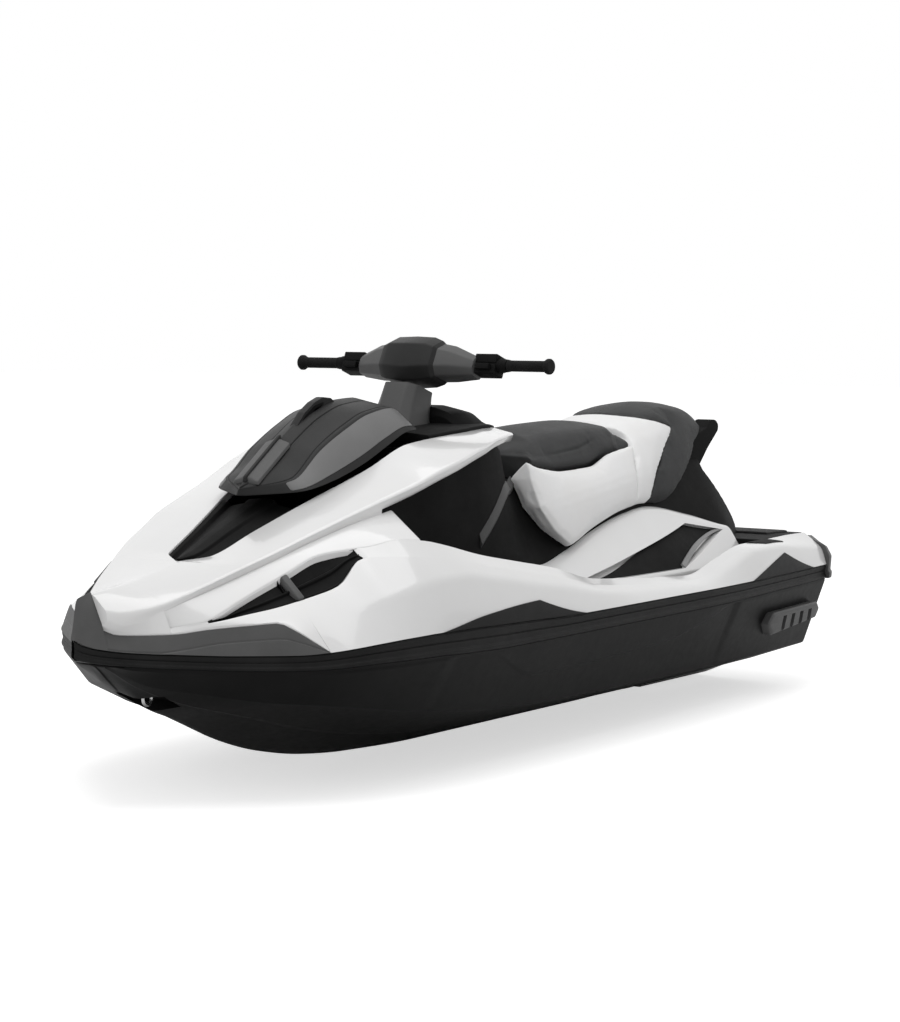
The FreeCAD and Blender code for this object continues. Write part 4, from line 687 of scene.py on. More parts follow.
def make_hull():
    """The hull: strakes, creased sides, raked transom, and room for the jet tunnel, duct and bow eye."""
    def crease_out(y):
        low, high = chine(y), inside(rail_low, HULL_STEP)(y)
        z = min(max(crease_rise(y / LENGTH) * COWL_HEIGHT, low[1] + 0.002), high[1] - 0.001)
        share = (z - low[1]) / max(high[1] - low[1], 1e-6)
        return low[0] + (high[0] - low[0]) * share, z

    def crease_in(y):
        x, z = crease_out(y)
        deep = SIDE_CREASE_DEPTH if Y_WELL < y < station(0.76) else 0.0
        low = chine(y)
        return max(x - deep, 0.0), max(z - 0.008, low[1] + 0.001)

    strake = [between(keel, chine, 0.48), shifted(between(keel, chine, 0.54), 0.0, -STRAKE_DEPTH)]
    corners = [keel] + strake + [chine, crease_in, crease_out, inside(rail_low, HULL_STEP)]
    rings = moulding_rings(Y_STEM, Y_STERN, corners, radius=[0.02, EASED, EASED, 0.008, EASED, SOFT, CRISP],
                           mirror_in=True, step=0.022, ends=(EASED, 0.0))
    bend_from = TRANSOM_BEND - BOW_TO_ORIGIN
    end = Y_STERN - BOW_TO_ORIGIN

    def raked(x, y, z):
        if y < bend_from:
            return x, y, z
        reach = transom_y(z + DRAFT) - BOW_TO_ORIGIN - bend_from
        return x, bend_from + (y - bend_from) * reach / (end - bend_from), z

    hull = add_piece("hull_shell", *joined([[raked(*p) for p in ring] for ring in rings]), crease=30)
    spring = TUNNEL_TOP - TUNNEL_HALF
    arch = [(-TUNNEL_HALF, -0.05), (-TUNNEL_HALF, spring)]
    arch += [(-TUNNEL_HALF * math.cos(math.radians(t)), spring + TUNNEL_HALF * math.sin(math.radians(t)))
             for t in range(15, 180, 15)]
    arch += [(TUNNEL_HALF, spring), (TUNNEL_HALF, -0.05)]
    bay = add_piece("bay_room", *joined([[placed(x, y, z) for x, z in arch] for y in (PUMP_START, 3.4)]))
    duct = block("duct_room", DUCT_OUTLINE, -0.075, 0.075)
    notch = block("eye_room", EYE_RECESS, -0.09, 0.09)
    cut_away(hull, [bay, duct, notch])
    return dress(hull, "hull", "craft", "hull_black", "hull")


make_hull()

# Steps in from the rail's line, and shares of its height
RAIL_SECTION = ((-0.045, 0.0), (-0.007, 0.0), (-0.001, 0.08), (-0.001, 0.20), (-0.006, 0.27),
                (-0.006, 0.50), (-0.010, 0.54), (-0.006, 0.58), (-0.003, 0.86), (-0.009, 1.0),
                (-0.045, 1.0))


def make_rub_rails():
    def at(dx, share):
        def line(y):
            x = rail_x(y)
            low, high = rail_low(y)[1], rail_top(y)[1]
            return max(x + dx, x * TIP_SEAM_SHARE), low + (high - low) * share
        return line

    rail = moulding("rub_rail_port", 0.0, Y_STERN, [at(*place) for place in RAIL_SECTION], radius=FINE,
                    ends=(HAIRLINE, FINE))
    dress_both(rail, "rail", "rail_black", "rub_rail_left", "rub_rail_right")


make_rub_rails()

NOSE_SHOULDER_SHARE = 0.62
NOSE_RISE_SHARE = 0.45


def make_bow_bumper():
    """A peaked cap on the bow tip and a grooved strip along each side, above the rails."""
    def nose_shoulder(y):
        x, z = rail_top(y)
        return x * NOSE_SHOULDER_SHARE, z + (crown.z(y) - z) * NOSE_RISE_SHARE

    nose = whole("nose_cap", 0.0, Y_NOSE, [rail_top, nose_shoulder, crown],
                 radius=[CRISP, EASED, FINE], step=0.006, ends=HAIRLINE)
    share = fair((0.05, 0.09, 0.142), (0.06, 0.46, 0.52))
    corners = [rail_top] + groove(rail_top, bumper_edge, lambda y: share(y / LENGTH), 0.004, 0.003)
    corners += [bumper_edge, on_deck(bumper_edge, PANEL_INSET)]
    radii = [CRISP, HAIRLINE, HAIRLINE, HAIRLINE, 0.010, CRISP]
    strip = pair("bumper_strips", Y_NOSE, Y_BUMPER_END, corners, radius=radii, step=0.012,
                 ends=(0.0, HAIRLINE))
    bumper = together("bow_bumper_moulding", [nose, strip])
    dress(bumper, "bumper", "craft", "bumper_charcoal", "bow_bumper")


make_bow_bumper()

BUMPER_OUT = 0.010
BUMPER_RISE = 0.030
BUMPER_REACH = 0.058
# Behind the stern, how far it stands out and how far its corners close in
BUMPER_ROWS = ((0.0, BUMPER_OUT - 0.002, 0.002), (0.002, BUMPER_OUT, 0.0), (0.030, BUMPER_OUT - 0.006, 0.0),
               (0.034, BUMPER_OUT - 0.009, 0.001), (BUMPER_REACH - 0.006, -BUMPER_OUT + 0.003, 0.002),
               (BUMPER_REACH, -BUMPER_OUT - 0.003, 0.007))


def make_stern_bumpers():
    """The faceted corners of the stern, standing out behind the rails."""
    side, low = rail_low(Y_STERN)
    crest_x, crest_z = crest(Y_STERN)
    inner_x, inner_z = gunwale(Y_STERN)
    top = deck_z(Y_STERN)

    def section(out, drop=0.0):
        return [(side + out, low + drop), (side + out + 0.002, low + 0.022),
                (side + out - 0.004, low + 0.027), (side + out, top + BUMPER_RISE - drop),
                (crest_x + out, crest_z + out - drop), (inner_x, inner_z - BUMPER_OUT - drop),
                (inner_x, top), (side - RAIL_DEPTH, top), (side - RAIL_DEPTH, low + drop)]

    pieces = []
    for hand in (1, -1):
        rings = [[placed(hand * p.x, Y_STERN + aft, p.y) for p in eased_corners(section(out, drop), 0.005)]
                 for aft, out, drop in BUMPER_ROWS]
        pieces.append(add_piece("corner_bumper", *joined(rings), crease=28))
    blocks = together("stern_corner_bumpers", pieces, crease=28)
    dress(blocks, "bumper", "craft", "bumper_charcoal", "stern_bumper")


make_stern_bumpers()


# Topsides

VENT_SINK = 0.018
VENT_SLATS = ((0.03, 0.016), (0.10, 0.010), (0.38, 0.004), (0.42, 0.012), (0.48, 0.012), (0.52, 0.002),
              (0.92, 0.002), (0.97, 0.014))
VENT_FORE_RAMP = 0.05
VENT_AFT_RAMP = 0.02


def vent_window(y):
    """How deep the side vent is along the craft, from 0 at its ends to 1."""
    fore, aft = (y - Y_VENT) / VENT_FORE_RAMP, (Y_VENT_END + VENT_AFT_RAMP - y) / VENT_AFT_RAMP
    return max(0.0, min(1.0, fore, aft))


def vent_floor(share):
    return between(vent_low, gunwale, share, lambda y: -VENT_SINK * vent_window(y))


def make_side_panels():
    def corners(foot_line):
        return [on_deck(foot_line, PANEL_INSET), foot_line, crest, vent_low, vent_floor(0.04),
                vent_floor(0.96), gunwale, on_deck(gunwale, WALL_LEAN)]

    radii = [CRISP, CRISP, 0.016, SOFT, CRISP, CRISP, 0.008, FINE]
    fore = moulding("flank_fore", Y_FLANK, Y_BUMPER_END, corners(bumper_edge), radius=radii,
                    ends=(CRISP, 0.0))
    aft = moulding("flank_aft", Y_BUMPER_END, Y_STERN, corners(rail_top), radius=radii, ends=(0.0, CRISP),
                   breaks=(Y_VENT_END - VENT_AFT_RAMP, Y_VENT_END, Y_VENT_END + VENT_AFT_RAMP))
    panel = together("flank_panel_port", [fore, aft])
    dress_both(panel, "gelcoat", "body_white", "side_panel_left", "side_panel_right")


make_side_panels()


def make_side_vents():
    """Slats in the sunk vents, and a bridge over each."""
    def lift(share, height):
        return between(vent_low, gunwale, share, lambda y: (height - VENT_SINK) * vent_window(y) + 0.0005)

    back = [shifted(vent_floor(0.96), -0.004, -0.003), shifted(vent_floor(0.04), -0.004, -0.003)]
    slats = [lift(share, height) for share, height in VENT_SLATS]
    louvre = pair("side_vent_louvres", Y_VENT, Y_VENT_END + 0.012, slats + back, radius=CRISP, step=0.015,
                  ends=HAIRLINE)
    dress(louvre, "trim", "craft", "trim_black", "side_vents")
    bar = [lift(0.02, 0.0), lift(0.02, 0.020), lift(0.98, 0.020), lift(0.98, 0.0)]
    bridge = pair("side_vent_bridges", 0.478, 0.494, bar, radius=FINE, step=0.004, ends=FINE)
    dress(bridge, "bumper", "craft", "bumper_charcoal")


make_side_vents()

# Name, start, end, where the peak is between them, and how far up the flank it reaches
FLANK_POINTS = (("flank_point_fores", 0.83, 1.54, 0.66, 0.54), ("flank_point_afts", 2.62, 3.17, 0.55, 0.74))


def make_flank_points():
    """The black points that rise from the rail onto the flank."""
    for name, start, end, peak_at, peak in FLANK_POINTS:
        def top(y):
            t = (y - start) / (end - start)
            return max(0.0, peak * min(t / peak_at, (1 - t) / (1 - peak_at)))

        patch = pair(name, start, end, plate(rail_top, crest, 0.0, top, -0.003, 0.003), radius=CRISP,
                     ends=0.0, breaks=(start + (end - start) * peak_at,))
        dress(patch, "rail", "craft", "rail_black")


make_flank_points()

CAP_START = 2.760
CAP_END = 3.000
CAP_SHARE = 0.55
CAP_SLANT = 0.080


def make_gunwale_caps():
    """Black slanted caps on top of the side panels beside the rear deck."""
    def low(y):
        return 1 - CAP_SHARE * min(1.0, (y - CAP_START) / CAP_SLANT)

    def high(y):
        return 1 - CAP_SHARE * max(0.0, (y - CAP_END + CAP_SLANT) / CAP_SLANT)

    caps = pair("gunwale_caps", CAP_START, CAP_END, plate(crest, gunwale, low, high, 0.003, -0.0025),
                radius=0.0005, step=0.01, ends=0.0)
    dress(caps, "trim", "craft", "trim_black")


make_gunwale_caps()

COWL_SIDE_RAKE = 0.045


def make_cowl_sides():
    """White panels under the cowl's overhang, with an aft edge that leans back."""
    corners = [on_deck(undercut, WALL_LEAN), on_deck(gunwale, WALL_LEAN), inside(gunwale, 0.001), undercut]
    side = moulding("cowl_side_port", Y_FLANK, Y_WELL, corners, radius=[CRISP, CRISP, SOFT, SOFT],
                    ends=(CRISP, EASED))
    low, high = gunwale.z(Y_WELL), undercut.z(Y_WELL)
    for v in side.data.vertices:
        near_end = max(0.0, 1 - (Y_WELL - v.co.y - BOW_TO_ORIGIN) / COWL_SIDE_RAKE / 3)
        v.co.y += COWL_SIDE_RAKE * near_end * max(0.0, min(1.0, (v.co.z + DRAFT - low) / (high - low)))
    dress_both(side, "gelcoat", "body_white", "cowl_side_left", "cowl_side_right")


make_cowl_sides()


def make_cowl():
    """The white cowl: closed at the bow, then open for the insert, the lid and the console."""
    foot = on_deck(undercut, WALL_LEAN)
    nose = whole("cowl_nose", Y_NOSE, Y_FLANK,
                 [on_deck(bumper_edge, PANEL_INSET), bumper_edge, undercut, cowl_crest, crown],
                 radius=[CRISP, CRISP, EASED, 0.012, 0.02], step=0.01, ends=(HAIRLINE, 0.0))
    fore = whole("cowl_fore", Y_FLANK, Y_INSERT, [foot, undercut, cowl_crest, crown],
                 radius=[CRISP, EASED, 0.012, 0.02], step=0.015, ends=0.0)
    side = pair("cowl_flanks", Y_INSERT, Y_WELL, [on_deck(opening), foot, undercut, cowl_crest, opening],
                radius=[CRISP, CRISP, 0.005, 0.014, EASED], step=0.01, ends=0.0)
    wing = pair("cowl_wings", Y_WELL, Y_COWL_END,
                [lambda y: (opening.x(y), undercut.z(y)), undercut, cowl_crest, opening],
                radius=[EASED, 0.008, 0.016, SOFT], ends=(0.0, 0.018))
    cowl = together("cowl_moulding", [nose, fore, side, wing])
    dress(cowl, "gelcoat", "craft", "body_white", "cowl")


make_cowl()

INSERT_SINK = 0.014
INSERT_GAP = 0.0015


def make_cowl_insert():
    """The black panel ahead of the lid, with a shallow channel on each side of its ridge."""
    def edge(drop):
        def line(y):
            x, z = opening(y)
            return max(x - INSERT_GAP, 0.0), z - min(drop, x)
        return line

    def ridge(y):
        return 0.0, opening.z(y) + INSERT_SINK / 2

    def mid(share, lift):
        return between(edge(INSERT_SINK), ridge, share, lift)

    corners = [on_deck(opening, INSERT_GAP), edge(0.005), mid(0.14, 0.003), mid(0.20, -0.010),
               mid(0.62, -0.006), mid(0.68, 0.003), ridge]
    insert = whole("cowl_insert_panel", Y_INSERT, Y_BIN, corners,
                   radius=[CRISP, CRISP, CRISP, CRISP, CRISP, FINE, SOFT], step=0.01, ends=CRISP)
    dress(insert, "trim", "craft", "trim_black", "cowl_insert")


make_cowl_insert()

LID_WALL = 0.012
SPINE_SLOPE = 0.20
LID_FACET_START = 0.750
LID_RIB_START = 0.705
LID_RIB_END = 0.850
LID_FIN = ((0.900, 0.950), (0.916, 0.982), (0.958, 1.024), (1.004, 1.052), (1.044, 1.066), (1.086, 1.062),
           (1.120, 1.040))
LID_FIN_SLOT = ((0.924, 0.978), (0.966, 1.018), (1.006, 1.043), (1.046, 1.052), (1.046, 1.044),
                (1.008, 1.034), (0.972, 1.008), (0.936, 0.972))
LID_FIN_HALF = 0.013


def make_storage_lid():
    """The lid over the bow bin: faceted sides, a channelled spine and a fin at its crown."""
    channel = groove(lid_facet, lid_spine, 0.07, 0.003, 0.003)
    second = groove(lid_facet, lid_spine, 0.66, 0.003, 0.004)
    outer = [lid_edge, lid_facet] + channel + second + [lid_spine]
    radii = [EASED, 0.005, HAIRLINE, HAIRLINE, HAIRLINE, HAIRLINE, HAIRLINE, HAIRLINE, EASED]
    shell = whole("storage_lid_cover", Y_LID, Y_LID_END, outer, radius=radii, step=0.012, ends=(FINE, SOFT),
                  crease=30)
    under = [inside(line, LID_WALL, LID_WALL) for line in (lid_edge, lid_facet, lid_spine)]
    room = whole("lid_room", Y_BIN, Y_LID_END - LID_WALL, under, radius=HAIRLINE, step=0.03, ends=0.0)
    room.data.transform(Matrix.Translation((0, 0, -0.0005)))
    cut_away(shell, [room])
    dress(shell, "lid", "lid", "lid_charcoal", "storage_lid")
    make_lid_rib()
    # Plates on the lid's sides in the lighter charcoal: a painted highlight on the side facets
    facets = pair("lid_facet_highlights", LID_FACET_START, Y_LID_END - 0.008,
                  plate(lid_edge, lid_facet, 0.20, 0.93, -0.003, 0.0022), radius=HAIRLINE, step=0.012,
                  ends=EASED)
    dress(facets, "lid_highlight_bright", "lid", "lid_charcoal")


def make_lid_rib():
    """The narrow rib up the lid's middle, its flanks in a painted highlight, and the fin that stands behind
    them.
    """
    def spine(x, lift):
        return lambda y: (x, lid_spine.z(y) - x * SPINE_SLOPE + lift)

    # The flanks are thin plates in the paler charcoal: a painted highlight beside the rib
    flank = whole("lid_rib_flank_highlights", LID_RIB_START, LID_RIB_END,
                  [spine(0.046, -0.004), spine(0.043, 0.006), spine(0.010, 0.010)],
                  radius=[HAIRLINE, CRISP, CRISP], step=0.01, ends=(EASED, CRISP))
    dress(flank, "lid_highlight_soft", "lid", "lid_charcoal")
    rib = whole("lid_centre_rib", LID_RIB_START - 0.006, LID_RIB_END + 0.012,
                [spine(0.008, 0.0), spine(0.0045, 0.016)],
                radius=[HAIRLINE, CRISP], step=0.01, ends=(EASED, 0.008))
    fin = block("lid_fin", LID_FIN, -LID_FIN_HALF, LID_FIN_HALF, radius=EASED)
    ribs = together("lid_rib_and_fin", [rib, fin])
    dress(ribs, "lid", "lid", "lid_charcoal")
    # Dark plates on both sides of the fin, just proud of it: painted shade of the curved slot along the
    # fin's side
    slot = block("lid_fin_shade_plates", LID_FIN_SLOT, -0.0142, 0.0142, radius=HAIRLINE)
    dress(slot, "trim", "lid", "trim_black")


make_storage_lid()

OPENING_GAP = 0.003
PEDESTAL_TAIL = ((3.200, 0.545), (3.099, 0.545), (3.062, 0.605), (2.950, 0.760), (2.950, 0.850),
                 (3.200, 0.850))
PEDESTAL_RIDGE_START = 1.480


def pedestal_top(y):
    x, z = saddle_seat(y)
    return x, undercut.z(y) if y <= Y_COWL_END else z


def make_pedestal():
    """The black tower under the saddle, less the bin's room and the slanted tail."""
    foot = on_deck(pedestal_foot)
    tower = whole("pedestal_moulding", Y_WELL, Y_PEDESTAL_END, [foot, pedestal_knee, pedestal_top],
                  radius=[EASED, 0.030, 0.012], ends=(0.0, 0.01))
    room = whole("bin_room", Y_BIN, Y_BIN_END + 0.001,
                 [lambda y: (opening.x(y) - OPENING_GAP, deck_z(y)),
                  lambda y: (opening.x(y) - OPENING_GAP, opening.z(y) + 0.06)], radius=HAIRLINE, ends=0.0)
    tail = block("tail_room", PEDESTAL_TAIL, -0.5, 0.5)
    cut_away(tower, [room, tail])
    dress(tower, "trim", "craft", "trim_black", "pedestal")


make_pedestal()


def make_pedestal_ridges():
    """A slanted facet on each side of the pedestal, ahead of the saddle, in the paler charcoal: a painted
    highlight on the black pedestal.
    """
    def low(y):
        return 0.06 + 0.80 * (y - PEDESTAL_RIDGE_START) / (Y_FENDER - PEDESTAL_RIDGE_START)

    def high(y):
        return low(y) + 0.13

    corners = plate(pedestal_knee, pedestal_top, low, high, -0.003, 0.001)
    corners.insert(2, between(pedestal_knee, pedestal_top, lambda y: low(y) + 0.04, 0.009))
    ridge = pair("pedestal_ridges", PEDESTAL_RIDGE_START, Y_FENDER + 0.02, corners, radius=HAIRLINE,
                 ends=CRISP, crease=20)
    # The paler finish is a painted highlight; the pedestal itself is black
    dress(ridge, "lid_highlight_soft", "craft", "trim_black")


make_pedestal_ridges()

CONSOLE_RISE = 0.008


def make_console():
    console = whole("console_moulding", Y_CONSOLE_START, Y_COWL_END, [
        lambda y: (opening.x(y) - OPENING_GAP, undercut.z(y)),
        lambda y: (opening.x(y) - OPENING_GAP, opening.z(y) + CONSOLE_RISE),
        lambda y: (opening.x(y) * 0.6, opening.z(y) + 2 * CONSOLE_RISE)],
        radius=[CRISP, SOFT, 0.02], ends=(CRISP, 0.008))
    dress(console, "trim", "craft", "trim_black", "console")


make_console()

# Corners of the pocket: along the craft, and shares of the way up the fender
FENDER_VENT = ((1.835, 0.10), (2.425, 0.05), (2.845, 0.80), (2.620, 0.80))


def make_fenders():
    """White fenders beside the saddle, each with a pocket cut into its skin."""
    corners = [on_deck(pedestal_foot), on_deck(fender_foot), fender_foot, fender_top, pedestal_knee]
    fender = moulding("fender_port", Y_FENDER, Y_PLATFORM, corners,
                      radius=[HAIRLINE, HAIRLINE, SOFT, 0.014, SOFT], ends=(CRISP, SOFT))
    room = block("fender_room", [(y, fender_foot.z(y) + (fender_top.z(y) - fender_foot.z(y)) * share)
                                 for y, share in FENDER_VENT], 0.20, 0.60)
    skin = [shifted(fender_foot, 0.02, 0.0), shifted(fender_top, 0.02, 0.012),
            shifted(fender_top, -0.014, -0.012), shifted(fender_foot, -0.014, -0.012)]
    pocket = moulding("fender_skin", Y_FENDER, Y_PLATFORM, skin, radius=0.0, ends=0.0)
    cut_away(fender, [kept_in(pocket, room)])
    dress_both(fender, "gelcoat", "body_white", "fender_left", "fender_right")


make_fenders()


def make_fender_vents():
    """Black panels at the bottom of the fenders' pockets, with a grey lip under each."""
    (fore, low), (knee, foot), (aft, high), (peak, _) = FENDER_VENT

    def bottom(y):
        if y < knee:
            return low + (foot - low) * (y - fore) / (knee - fore)
        return foot + (high - foot) * (y - knee) / (aft - knee)

    def top(y):
        return min(low + (high - low) * (y - fore) / (peak - fore), high)

    def sunk(share, depth):
        return between(fender_foot, fender_top, share, -depth)

    def lip_top(y):
        return bottom(y) + 0.07

    panel = pair("fender_vent_panels", fore + 0.004, aft - 0.004,
                 [sunk(bottom, 0.016), sunk(bottom, 0.010), sunk(top, 0.010), sunk(top, 0.016)],
                 radius=HAIRLINE, ends=0.0, breaks=(knee, peak))
    dress(panel, "trim", "craft", "trim_black", "fender_vents")
    lip = pair("fender_vent_lips", knee + 0.006, aft - 0.012,
               [sunk(bottom, 0.012), sunk(bottom, -0.001), sunk(lip_top, 0.003), sunk(lip_top, 0.012)],
               radius=HAIRLINE, ends=HAIRLINE)
    dress(lip, "pale_lip", "craft", "bumper_charcoal")


make_fender_vents()


def make_rear_deck():
    deck = whole("stern_platform", Y_PLATFORM, Y_STERN,
                 [on_deck(gunwale, WALL_LEAN), inside(gunwale, 0.001)], radius=[CRISP, 0.010],
                 ends=(EASED, 0.010))
    dress(deck, "trim", "craft", "trim_black", "rear_deck")


make_rear_deck()


def make_rear_mat():
    def edge(x, lift):
        return lambda y: (x, gunwale.z(y) + lift)

    mat = whole("stern_mat", Y_PEDESTAL_END, Y_MAT_END, [edge(0.370, -0.001), edge(0.370, 0.006),
                                                         edge(0.362, 0.008)], radius=CRISP, ends=EASED)
    dress(mat, "mat", "craft", "mat_rubber", "rear_mat")


make_rear_mat()

MAT_MARGIN = 0.014


def make_footwell_mats():
    def inner(rise):
        def line(y):
            foot = fender_foot if y >= Y_FENDER - 0.04 else pedestal_foot
            return foot.x(y) + MAT_MARGIN, deck_z(y) + rise
        return line

    def outer(rise):
        return lambda y: (gunwale.x(y) - WALL_LEAN - MAT_MARGIN, deck_z(y) + rise)

    corners = [inner(-0.002), outer(-0.002), outer(0.008), inner(0.008)]
    mats = pair("footwell_mat_pair", Y_BIN_END, Y_PLATFORM, corners, radius=FINE, ends=EASED)
    dress(mats, "mat", "craft", "mat_rubber", "footwell_mats")


make_footwell_mats()


# Saddle

# Side view outlines, from the bow aft
BAND_FRONT = ((2.380, 0.560), (2.380, 0.680), (2.412, 0.790), (2.470, 0.886), (2.485, 1.020))
BAND_BACK = ((2.535, 1.020), (2.540, 0.965), (2.745, 0.915), (2.672, 0.870), (2.545, 0.780), (2.483, 0.710),
             (2.455, 0.650), (2.440, 0.560))
SEAT_TAIL = ((2.580, 0.675), (2.700, 0.745), (2.865, 0.860), (2.992, 0.905), (3.014, 0.935), (3.000, 1.020))
PAD_FRONT = ((1.855, 0.700), (1.855, 0.860), (1.930, 0.896), (2.120, 1.020))
BOLSTER_FRONT = ((1.850, 1.020), (1.822, 0.862), (1.804, 0.790), (1.812, 0.700), (1.868, 0.625),
                 (1.950, 0.566))

SWELL = 0.004
SWELL_LIMIT = 0.006
SKIN_VOXEL = 0.006
FOAM_PRESSURE = 4.0
FOAM_FRAMES = 20
PAD_END = 2.455
PAD_END_BOW = 2.6
PAD_STEP = 0.016
PAD_STEP_FOOT = 0.840
SEAM_GAP = 0.003
SEAM_WIDTH = 0.006
SEAM_DEPTH = 0.005
FRONT_SEAM = ((0.196, 1.87, 0.862), (0.192, 2.02, 0.862), (0.186, 2.16, 0.872), (0.168, 2.27, 0.890),
              (0.120, 2.36, 0.918), (0.0, 2.445, 0.936))
REAR_SEAM = ((0.205, 2.70, 0.850), (0.192, 2.78, 0.895), (0.150, 2.90, 0.945), (0.10, 2.97, 0.955))


def swollen(piece):
    """Fills a cushion out as its foam does: a pressed cloth skin, held near its first shape."""
    piece.data.remesh_voxel_size = SKIN_VOXEL
    bpy.context.view_layer.objects.active = piece
    for other in bpy.context.selected_objects:
        other.select_set(False)
    piece.select_set(True)
    bpy.ops.object.voxel_remesh()
    rest = [v.co.copy() for v in piece.data.vertices]
    cloth = piece.modifiers.new("foam", "CLOTH")
    cloth.settings.use_pressure = True
    cloth.settings.uniform_pressure_force = FOAM_PRESSURE
    cloth.settings.effector_weights.gravity = 0.0
    cloth.settings.quality = 5
    cloth.collision_settings.use_collision = False
    for number in range(1, FOAM_FRAMES + 1):
        bpy.context.scene.frame_set(number)
    shaped = piece.evaluated_get(bpy.context.evaluated_depsgraph_get())
    moved = [v.co.copy() for v in shaped.data.vertices]
    piece.modifiers.clear()
    for v, start, end in zip(piece.data.vertices, rest, moved):
        step = end - start
        v.co = start + step * min(1.0, SWELL_LIMIT / step.length) if step.length > 0 else start
    bpy.context.scene.frame_set(1)
    bm = bmesh.new()
    bm.from_mesh(piece.data)
    for _ in range(2):
        bmesh.ops.smooth_vert(bm, verts=bm.verts, factor=0.5, use_axis_x=True, use_axis_y=True,
                              use_axis_z=True)
    bm.to_mesh(piece.data)
    bm.free()
    fine = piece.modifiers.new("fine", "SUBSURF")
    fine.levels = fine.render_levels = 1
    settled(piece).data.shade_smooth()
    return piece


def kept_within(piece, outline, low_x=-0.5):
    """Keeps the part of a piece that is inside a side view outline."""
    return kept_in(piece, block("outline_room", outline, low_x, 0.5))


def span_distance(p, a, b):
    along = max(0.0, min(1.0, (p - a).dot(b - a) / (b - a).length_squared))
    return (p - a - (b - a) * along).length


def sewn(piece, route):
    """A sewn channel on both sides of a cushion: the skin sinks along a route of points."""
    for side in (1, -1):
        points = [Vector(placed(side * x, y, z)) for x, y, z in route]
        normals = [v.normal.copy() for v in piece.data.vertices]
        for v, normal in zip(piece.data.vertices, normals):
            near = min(span_distance(v.co, a, b) for a, b in zip(points, points[1:]))
            if near < 3 * SEAM_WIDTH:
                v.co -= normal * SEAM_DEPTH * math.exp(-(near / SEAM_WIDTH) ** 2)


def slid(outline, dy):
    return tuple((y + dy, z) for y, z in outline)


def saddle_side():
    return [inside(pedestal_knee, 0.0, -0.002), inside(bolster_low, SWELL, -SWELL),
            inside(bolster_out, SWELL, 0.0), inside(bolster_top, SWELL, SWELL)]


def saddle_body(name):
    """The saddle over its whole length, less the pedestal that it sits on."""
    corners = saddle_side() + [inside(cushion_edge, SWELL, SWELL), inside(cushion_crown, 0.0, SWELL)]
    body = whole(name, Y_FENDER, Y_SEAT_END, corners,
                 radius=[EASED, 0.012, 0.045, 0.022, 0.030, 0.050], ends=(0.0, 0.012))
    seat = whole("seat_room", Y_FENDER - 0.02, Y_SEAT_END + 0.02,
                 [on_deck(pedestal_foot), pedestal_knee, pedestal_top], radius=CRISP, ends=0.0)
    return cut_away(body, [seat])


def make_saddle():
    """Front pad, two bolsters, band and rear seat, each swollen; the front pad and the rear seat are sewn.
    """
    top = [pedestal_top, inside(bolster_top, SWELL, 0.0), inside(cushion_edge, SWELL, SWELL),
           inside(cushion_crown, 0.0, SWELL)]
    front = whole("saddle_front", Y_FENDER, Y_BAND, top, radius=[EASED, 0.020, 0.030, 0.050], ends=0.0)
    swollen(kept_within(front, PAD_FRONT + slid(BAND_FRONT, -SEAM_GAP)[:0:-1]))
    for v in front.data.vertices:
        y, z = v.co.y + BOW_TO_ORIGIN, v.co.z + DRAFT
        end = PAD_END - PAD_END_BOW * v.co.x ** 2
        if y > end and z > PAD_STEP_FOOT:
            v.co.z -= PAD_STEP * min(1.0, (y - end) / 0.030) * min(1.0, (z - PAD_STEP_FOOT) / 0.030)
    sewn(front, FRONT_SEAM)
    dress(front, "saddle_dark", "craft", "saddle_dark", "seat_front")

    port = moulding("saddle_bolster_port", Y_FENDER, Y_BAND, saddle_side() + [pedestal_top],
                    radius=[EASED, 0.012, 0.045, 0.022, EASED], ends=0.0)
    swollen(kept_within(port, BOLSTER_FRONT + slid(BAND_FRONT, -SEAM_GAP), low_x=0.0))
    starboard = mirror_copy(port, "saddle_bolster_starboard")
    starboard.data.shade_smooth()
    dress(port, "saddle_white", "craft", "saddle_white", "seat_bolster_left")
    dress(starboard, "saddle_white", "craft", "saddle_white", "seat_bolster_right")

    strap = swollen(kept_within(saddle_body("saddle_band"), BAND_FRONT + BAND_BACK))
    dress(strap, "saddle_white", "craft", "saddle_white", "seat_band")

    rear = swollen(kept_within(saddle_body("saddle_rear"), SEAT_TAIL + slid(BAND_BACK, SEAM_GAP)[:-1]))
    sewn(rear, REAR_SEAM)
    dress(rear, "saddle_dark", "craft", "saddle_dark", "seat_rear")


make_saddle()

HANDLE_HALF = 0.175
HANDLE_POST_WIDTH = 0.060
HANDLE_RADIUS = 0.014
HANDLE_BAR = (3.080, 0.906)
HANDLE_POST = ((2.712, 0.748), (2.868, 0.857), (3.012, 0.903), (3.043, 0.930), (3.080, 0.928),
               (3.098, 0.912), (3.096, 0.892), (3.020, 0.830), (2.960, 0.770), (2.950, 0.748))


def make_grab_handle():
    inner = HANDLE_HALF - HANDLE_POST_WIDTH
    posts = [block("handle_post", HANDLE_POST, *sides, radius=SOFT)
             for sides in ((inner, HANDLE_HALF), (-HANDLE_HALF, -inner))]
    reach = HANDLE_HALF - HANDLE_POST_WIDTH / 2
    rings = []
    for share in (-1.0, -0.6, 0.0, 0.6, 1.0):
        r = HANDLE_RADIUS * (0.97 if abs(share) == 1.0 else 1.0)
        rings.append([placed(reach * share, HANDLE_BAR[0] + r * math.cos(math.radians(t)),
                             HANDLE_BAR[1] + r * math.sin(math.radians(t))) for t in range(0, 360, 12)])
    bar = add_piece("handle_bar", *joined(rings))
    handle = together("grab_handle_moulding", posts + [bar])
    dress(handle, "trim", "craft", "trim_black", "grab_handle")


make_grab_handle()


# Steering

PAD_HALF = 0.212
BAR_AFT = 0.047
BAR_UP = 0.208
HOUSING_LENGTH = 0.105
